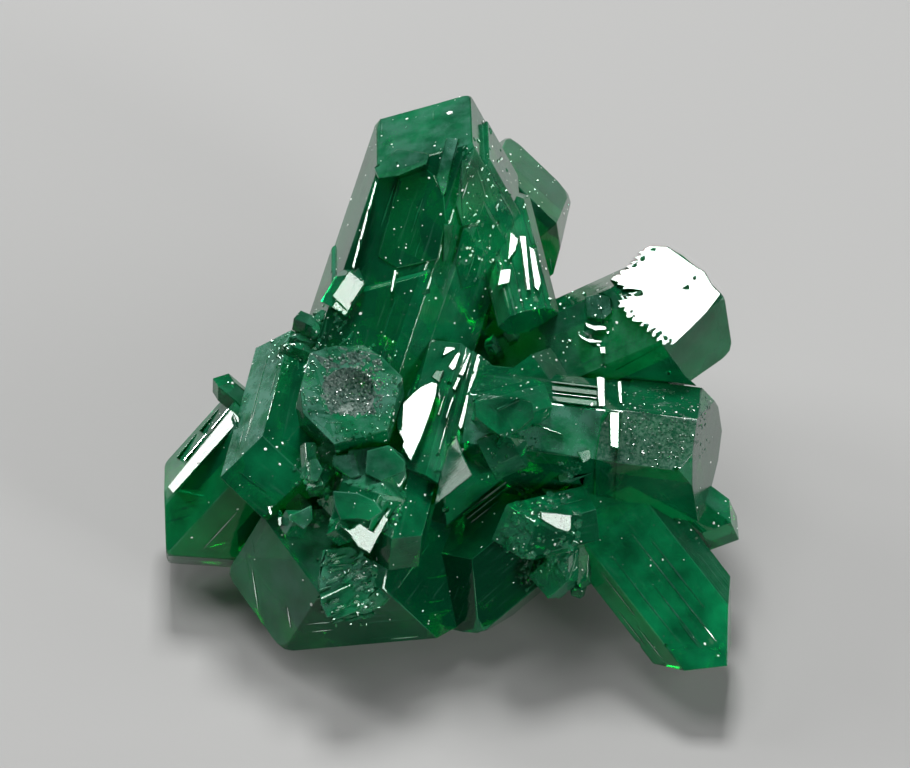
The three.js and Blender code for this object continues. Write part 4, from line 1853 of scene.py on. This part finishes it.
    def edge_chips(self, body: bpy.types.Object, draw: random.Random) -> SmallShape:
        """Small chips out of the edges that stand out.

        Args:
            body: The body.
            draw: The run of random numbers.

        Returns:
            The lump that cuts them, with its places.
        """
        shape = SmallShape.lump(1.0)
        mesh = body.data
        edges = self.sharp_edges(body)
        lengths = [(mesh.vertices[b].co - mesh.vertices[a].co).length for a, b in edges]
        for start, end in draw.choices(edges, lengths, k=self.chips):
            point = mesh.vertices[start].co.lerp(mesh.vertices[end].co, draw.random())
            size = draw.uniform(*self.chip_mm) * MM
            angle = draw.uniform(0.0, math.tau)
            turn = Matrix.Rotation(angle, 4, Vector((draw.random(), draw.random(), 1.0)))
            stretch = Matrix.Diagonal((size * draw.uniform(1.0, 2.0), size, size, 1.0))
            shape.place(Matrix.Translation(point) @ turn @ stretch)
        return shape

    def sharp_edges(self, body: bpy.types.Object) -> list[tuple[int, int]]:
        """Finds the long edges that stand out.

        Args:
            body: The body.

        Returns:
            The edges, as pairs of vertex numbers.
        """
        mesh = body.data
        faces_of: dict[tuple[int, int], list[int]] = {}
        for face in mesh.polygons:
            for key in face.edge_keys:
                faces_of.setdefault(key, []).append(face.index)
        paired = [(key, sides) for key, sides in faces_of.items() if len(sides) == 2]
        return [key for key, sides in paired if self.stands_out(mesh, key, *sides)]

    def stands_out(self, mesh: bpy.types.Mesh, edge: tuple[int, int], first: int, second: int) -> bool:
        """Whether an edge is long, sharp and turned outwards.

        Args:
            mesh: The body's mesh.
            edge: The edge's two vertices.
            first: One face beside it.
            second: The other face.

        Returns:
            True where the edge stands out.
        """
        start, end = (mesh.vertices[index].co for index in edge)
        if (end - start).length < self.edge_length_mm * MM:
            return False
        one, two = mesh.polygons[first], mesh.polygons[second]
        sharp = one.normal.angle(two.normal) > math.radians(self.edge_turn_deg)
        outward = (two.center - one.center).dot(one.normal) < 0.0
        return sharp and outward

    def wear_edges(self, body: bpy.types.Object) -> None:
        """Bevels the long sharp edges that stand out.

        Args:
            body: The body.
        """
        worn = set(self.sharp_edges(body))
        only(body)
        bpy.ops.object.mode_set(mode="EDIT")
        bpy.ops.mesh.select_mode(type="EDGE")
        bpy.ops.mesh.select_all(action="DESELECT")
        bpy.ops.object.mode_set(mode="OBJECT")
        for edge in body.data.edges:
            edge.select = tuple(sorted(edge.vertices)) in worn
        bpy.ops.object.mode_set(mode="EDIT")
        bpy.ops.mesh.bevel(offset=self.edge_mm * MM, segments=1, affect="EDGES", clamp_overlap=False)
        bpy.ops.object.mode_set(mode="OBJECT")

    @staticmethod
    def unit(vectors: np.ndarray) -> np.ndarray:
        """Vectors cut to unit length."""
        return vectors / np.linalg.norm(vectors, axis=1)[:, None]

    def mark_faces(
        self,
        body: bpy.types.Object,
        faces: FaceMap,
        looks: list[tuple[FaceLookWithPaintedShading, Spot]],
        plates: list[tuple[FacePlate, Spot]],
        lamps: dict[Lamp, Vector],
        draw: random.Random,
    ) -> None:
        """Gives each face its tone, haze and grit, and lays the growth map along it.

        Args:
            body: The body.
            faces: The flat faces it started with.
            looks: The looks of the faces in view, which paint light and shade on them.
            plates: The steps with an outline of their own.
            lamps: The lamps' places.
            draw: The run of random numbers.
        """
        mesh = body.data
        normals = np.array([face.normal for face in mesh.polygons])
        centres = np.array([face.center for face in mesh.polygons])
        seen = np.array([FACE.seen(face.center) for face in mesh.polygons])
        plane = np.argmax(normals @ faces.planes.T, axis=1)
        count = len(faces.planes)
        tone = np.array([draw.uniform(*self.tones) for _ in range(count)])[plane]
        haze = np.array([draw.uniform(0.0, self.hazy) ** 2 for _ in range(count)])[plane]
        broken = (normals[:, 2] < self.downward) & (centres[:, 2] < self.break_mm * MM)
        grit = broken.astype(float)
        # Listed faces take their own tone, haze and grit: painted shade where they lie in shade, painted
        # light where they are shaded.
        for look, spot in looks:
            same = normals @ np.array(spot.normal) > self.parallel
            near = np.abs((centres - np.array(spot.point)) @ np.array(spot.normal)) < self.level_mm * MM
            chosen = same & near & (np.linalg.norm(seen - look.spot, axis=1) < look.reach_mm)
            tone[chosen], haze[chosen], grit[chosen] = look.tone, look.haze, look.grit
        # Plates give their faces their tone and haze; on the ground steps these are painted light.
        for plate, spot in plates:
            chosen = (normals @ np.array(spot.normal) > self.parallel) & plate.covers(seen)
            tone[chosen], haze[chosen] = plate.tone, plate.haze
        areas = np.array([face.area for face in mesh.polygons])
        facing = normals @ np.array(FACE.direction(0.0, 0.0, 1.0)) > self.facing
        for patch in PATCHES:
            chosen = facing & (areas < self.grit_mm2 * MM * MM) & patch.holds(seen)
            tone[chosen], haze[chosen], grit[chosen] = patch.tone, patch.haze, patch.grey
        for lamp in dict.fromkeys(patch.catches for patch in GLINTS):
            half = self.unit(np.array(lamps[lamp]) - centres) + self.unit(np.array(FACE.eye) - centres)
            bright = np.sum(normals * self.unit(half), axis=1) > self.mirrored
            chosen = bright & (areas < self.glint_mm2 * MM * MM)
            haze[chosen], grit[chosen] = 0.0, 0.0
        for mark, values in ((FaceMark.TONE, tone), (FaceMark.HAZE, haze), (FaceMark.GRIT, grit)):
            layer = mesh.attributes.new(mark.value, "FLOAT", "FACE")
            layer.data.foreach_set("value", values.astype(np.float32))
        shift = np.array([draw.uniform(0.0, self.map_shift_mm) for _ in range(count)])[plane]
        along = faces.axes[plane]
        across = np.cross(faces.planes[plane], along)
        spots = np.array([vertex.co for vertex in mesh.vertices]) / MM
        growth = mesh.uv_layers.new(name=GROWTH_MAP)
        for face in mesh.polygons:
            ahead, aside, start = along[face.index], across[face.index], shift[face.index]
            for loop in face.loop_indices:
                spot = spots[mesh.loops[loop].vertex_index]
                growth.data[loop].uv = (spot @ ahead + start, spot @ aside + start)


@dataclass
class DustGrains:
    """Loose pale grains on the faces that look up.

    Attributes:
        piece_name: The piece's name.
        count: How many places are tried.
        drift: How far to a side grains fall, over how far down.
        fall_mm: How far they fall.
        size_mm: The smallest and largest grain.
        dot: The face-on place of one round white grain, in millimetres.
        dot_mm: That grain's size.
        slim: The grains' smallest and largest width over their length.
        tall: Their height over their length.
        dot_tall: The same for the round one.
        seed: Starts the run of random numbers.
    """

    piece_name: str = "dust_grains"
    count: int = 680
    drift: float = 0.7
    fall_mm: float = 60.0
    size_mm: Place = (0.07, 0.24)
    dot: Place = (0.0, 16.6)
    dot_mm: float = 0.45
    slim: Place = (0.6, 1.0)
    tall: float = 0.7
    dot_tall: float = 0.6
    seed: int = 23

    def build(self, body: bpy.types.Object) -> None:
        """Scatters the grains over a body, as one piece.

        Args:
            body: The crystals.
        """
        draw = random.Random(self.seed)
        faces = FaceMap(body)
        shape = SmallShape.lump(self.tall)
        low, high = self.size_mm
        corners = np.array([vertex.co for vertex in body.data.vertices])
        least, most = corners.min(axis=0), corners.max(axis=0)
        for _ in range(self.count):
            target = Vector([draw.uniform(start, end) for start, end in zip(least, most)])
            sideways = [draw.uniform(-self.drift, self.drift) for _ in range(2)]
            fall = Vector((*sideways, -1.0))
            size = (low + (high - low) * draw.random() ** 3) * MM
            slim = draw.uniform(*self.slim)
            turn = draw.uniform(0.0, math.tau)
            spot = faces.spot_beyond(target - fall * self.fall_mm * MM, fall.normalized())
            if spot is not None:
                shape.place(spot.frame(size, size * slim, size * self.tall, turn))
        dot = faces.spot_under(self.dot)
        if dot is not None:
            width = self.dot_mm * MM
            shape.place(dot.frame(width, width, width * self.dot_tall))
        grains = shape.copies(shape.placed, self.piece_name)
        shape.discard()
        grains.data.materials.append(GrainFinish().build())
        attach(grains, BODY)
        log.info("%s: %d grains", grains.name, len(shape.placed))


@dataclass(frozen=True)
class Softbox:
    """A square lamp that one set of faces mirrors.

    Attributes:
        lamp: Which lamp it is.
        towards: Its face-on direction from the cluster.
        size_mm: Its side.
        glow: Its brightness as the faces see it.
        distance_mm: How far it stands from the cluster.
    """

    lamp: Lamp
    towards: tuple[float, float, float]
    size_mm: float
    glow: float
    distance_mm: float = 350.0

    @property
    def place(self) -> Vector:
        """The lamp's place in the row frame, in metres."""
        return FACE.point(0.0, 0.0, 0.0) + FACE.direction(*self.towards) * self.distance_mm * MM

    def build(self) -> None:
        """Hangs the lamp, turned to the cluster."""
        side = self.size_mm * MM
        light = bpy.data.lights.new(self.lamp.value, "AREA")
        light.shape = "SQUARE"
        light.size = side
        light.energy = self.glow * math.pi * side * side
        holder = bpy.data.objects.new(self.lamp.value, light)
        holder.location = self.place
        holder.rotation_euler = FACE.direction(*self.towards).to_track_quat("Z", "Y").to_euler()
        bpy.context.scene.collection.objects.link(holder)


@dataclass
class Studio:
    """The floor, lamps and camera.

    Attributes:
        floor_mm: The floor's side.
        room_glow: Brightness of the dim light from all round.
        lamps: The lamps.
        focal_px: The lens's focal length, in pixels of the picture.
        frame_px: The picture's width.
        sensor_mm: The sensor's width.
    """

    floor_mm: float = 1200.0
    room_glow: float = 0.06
    lamps: tuple[Softbox, ...] = (
        Softbox(Lamp.OVERHEAD, (0.0, 0.94, 0.33), 85.0, 70.0),
        Softbox(Lamp.RIGHT, (0.71, -0.25, 0.65), 90.0, 34.0),
        Softbox(Lamp.STRIPE, (-0.8, 0.6, 0.0), 72.0, 30.0, 300.0),
        Softbox(Lamp.CORNER, (-0.6, 0.76, 0.24), 80.0, 9.5),
        Softbox(Lamp.KEY, (0.87, 0.31, 0.39), 180.0, 3.5),
        Softbox(Lamp.UPPER, (-0.21, 0.74, 0.64), 130.0, 8.0),
        Softbox(Lamp.FILL, (0.1, -0.41, 0.91), 200.0, 1.8),
    )
    focal_px: float = 4166.7
    frame_px: int = 910
    sensor_mm: float = 36.0

    @property
    def places(self) -> dict[Lamp, Vector]:
        """The lamps' places in the row frame, in metres."""
        return {box.lamp: box.place for box in self.lamps}

    def build(self) -> None:
        """Lays the floor, hangs the lamps and sets up the camera."""
        self.lay_floor()
        self.light_room()
        self.set_camera()

    def lay_floor(self) -> None:
        """A flat sheet of pale paper under the cluster."""
        bpy.ops.object.select_all(action="DESELECT")
        bpy.ops.mesh.primitive_plane_add(size=self.floor_mm * MM)
        floor = bpy.context.active_object
        floor.name = "floor"
        floor.data.materials.append(FloorFinish().build())

    def light_room(self) -> None:
        """Hangs every lamp and fills the room with dim grey light."""
        for lamp in self.lamps:
            lamp.build()
        world = bpy.data.worlds.new("room")
        world.use_nodes = True
        backdrop = world.node_tree.nodes["Background"]
        backdrop.inputs["Color"].default_value = (0.9, 0.95, 1.0, 1.0)
        backdrop.inputs["Strength"].default_value = self.room_glow
        bpy.context.scene.world = world

    def set_camera(self) -> None:
        """A long lens, looking straight into the face."""
        lens = bpy.data.cameras.new("camera")
        lens.sensor_width = self.sensor_mm
        lens.lens = self.focal_px * self.sensor_mm / self.frame_px
        lens.clip_start = 10.0 * MM
        camera = bpy.data.objects.new("camera", lens)
        camera.location = FACE.eye
        camera.rotation_euler = FACE.turn.to_euler()
        bpy.context.scene.collection.objects.link(camera)
        bpy.context.scene.camera = camera


def main() -> None:
    """Builds the cluster and its studio, and notes their sizes."""
    logging.basicConfig(level=logging.INFO, format="%(name)s: %(message)s")
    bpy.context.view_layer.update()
    studio = Studio()
    crystals = CrystalCluster().build(studio.places)
    DustGrains().build(crystals)
    studio.build()
    scene = bpy.context.scene
    scene.view_settings.view_transform = "Standard"
    scene.cycles.max_bounces = 8
    scene.cycles.transmission_bounces = 6
    scene.cycles.diffuse_bounces = 2


if __name__ == "__main__":
    main()
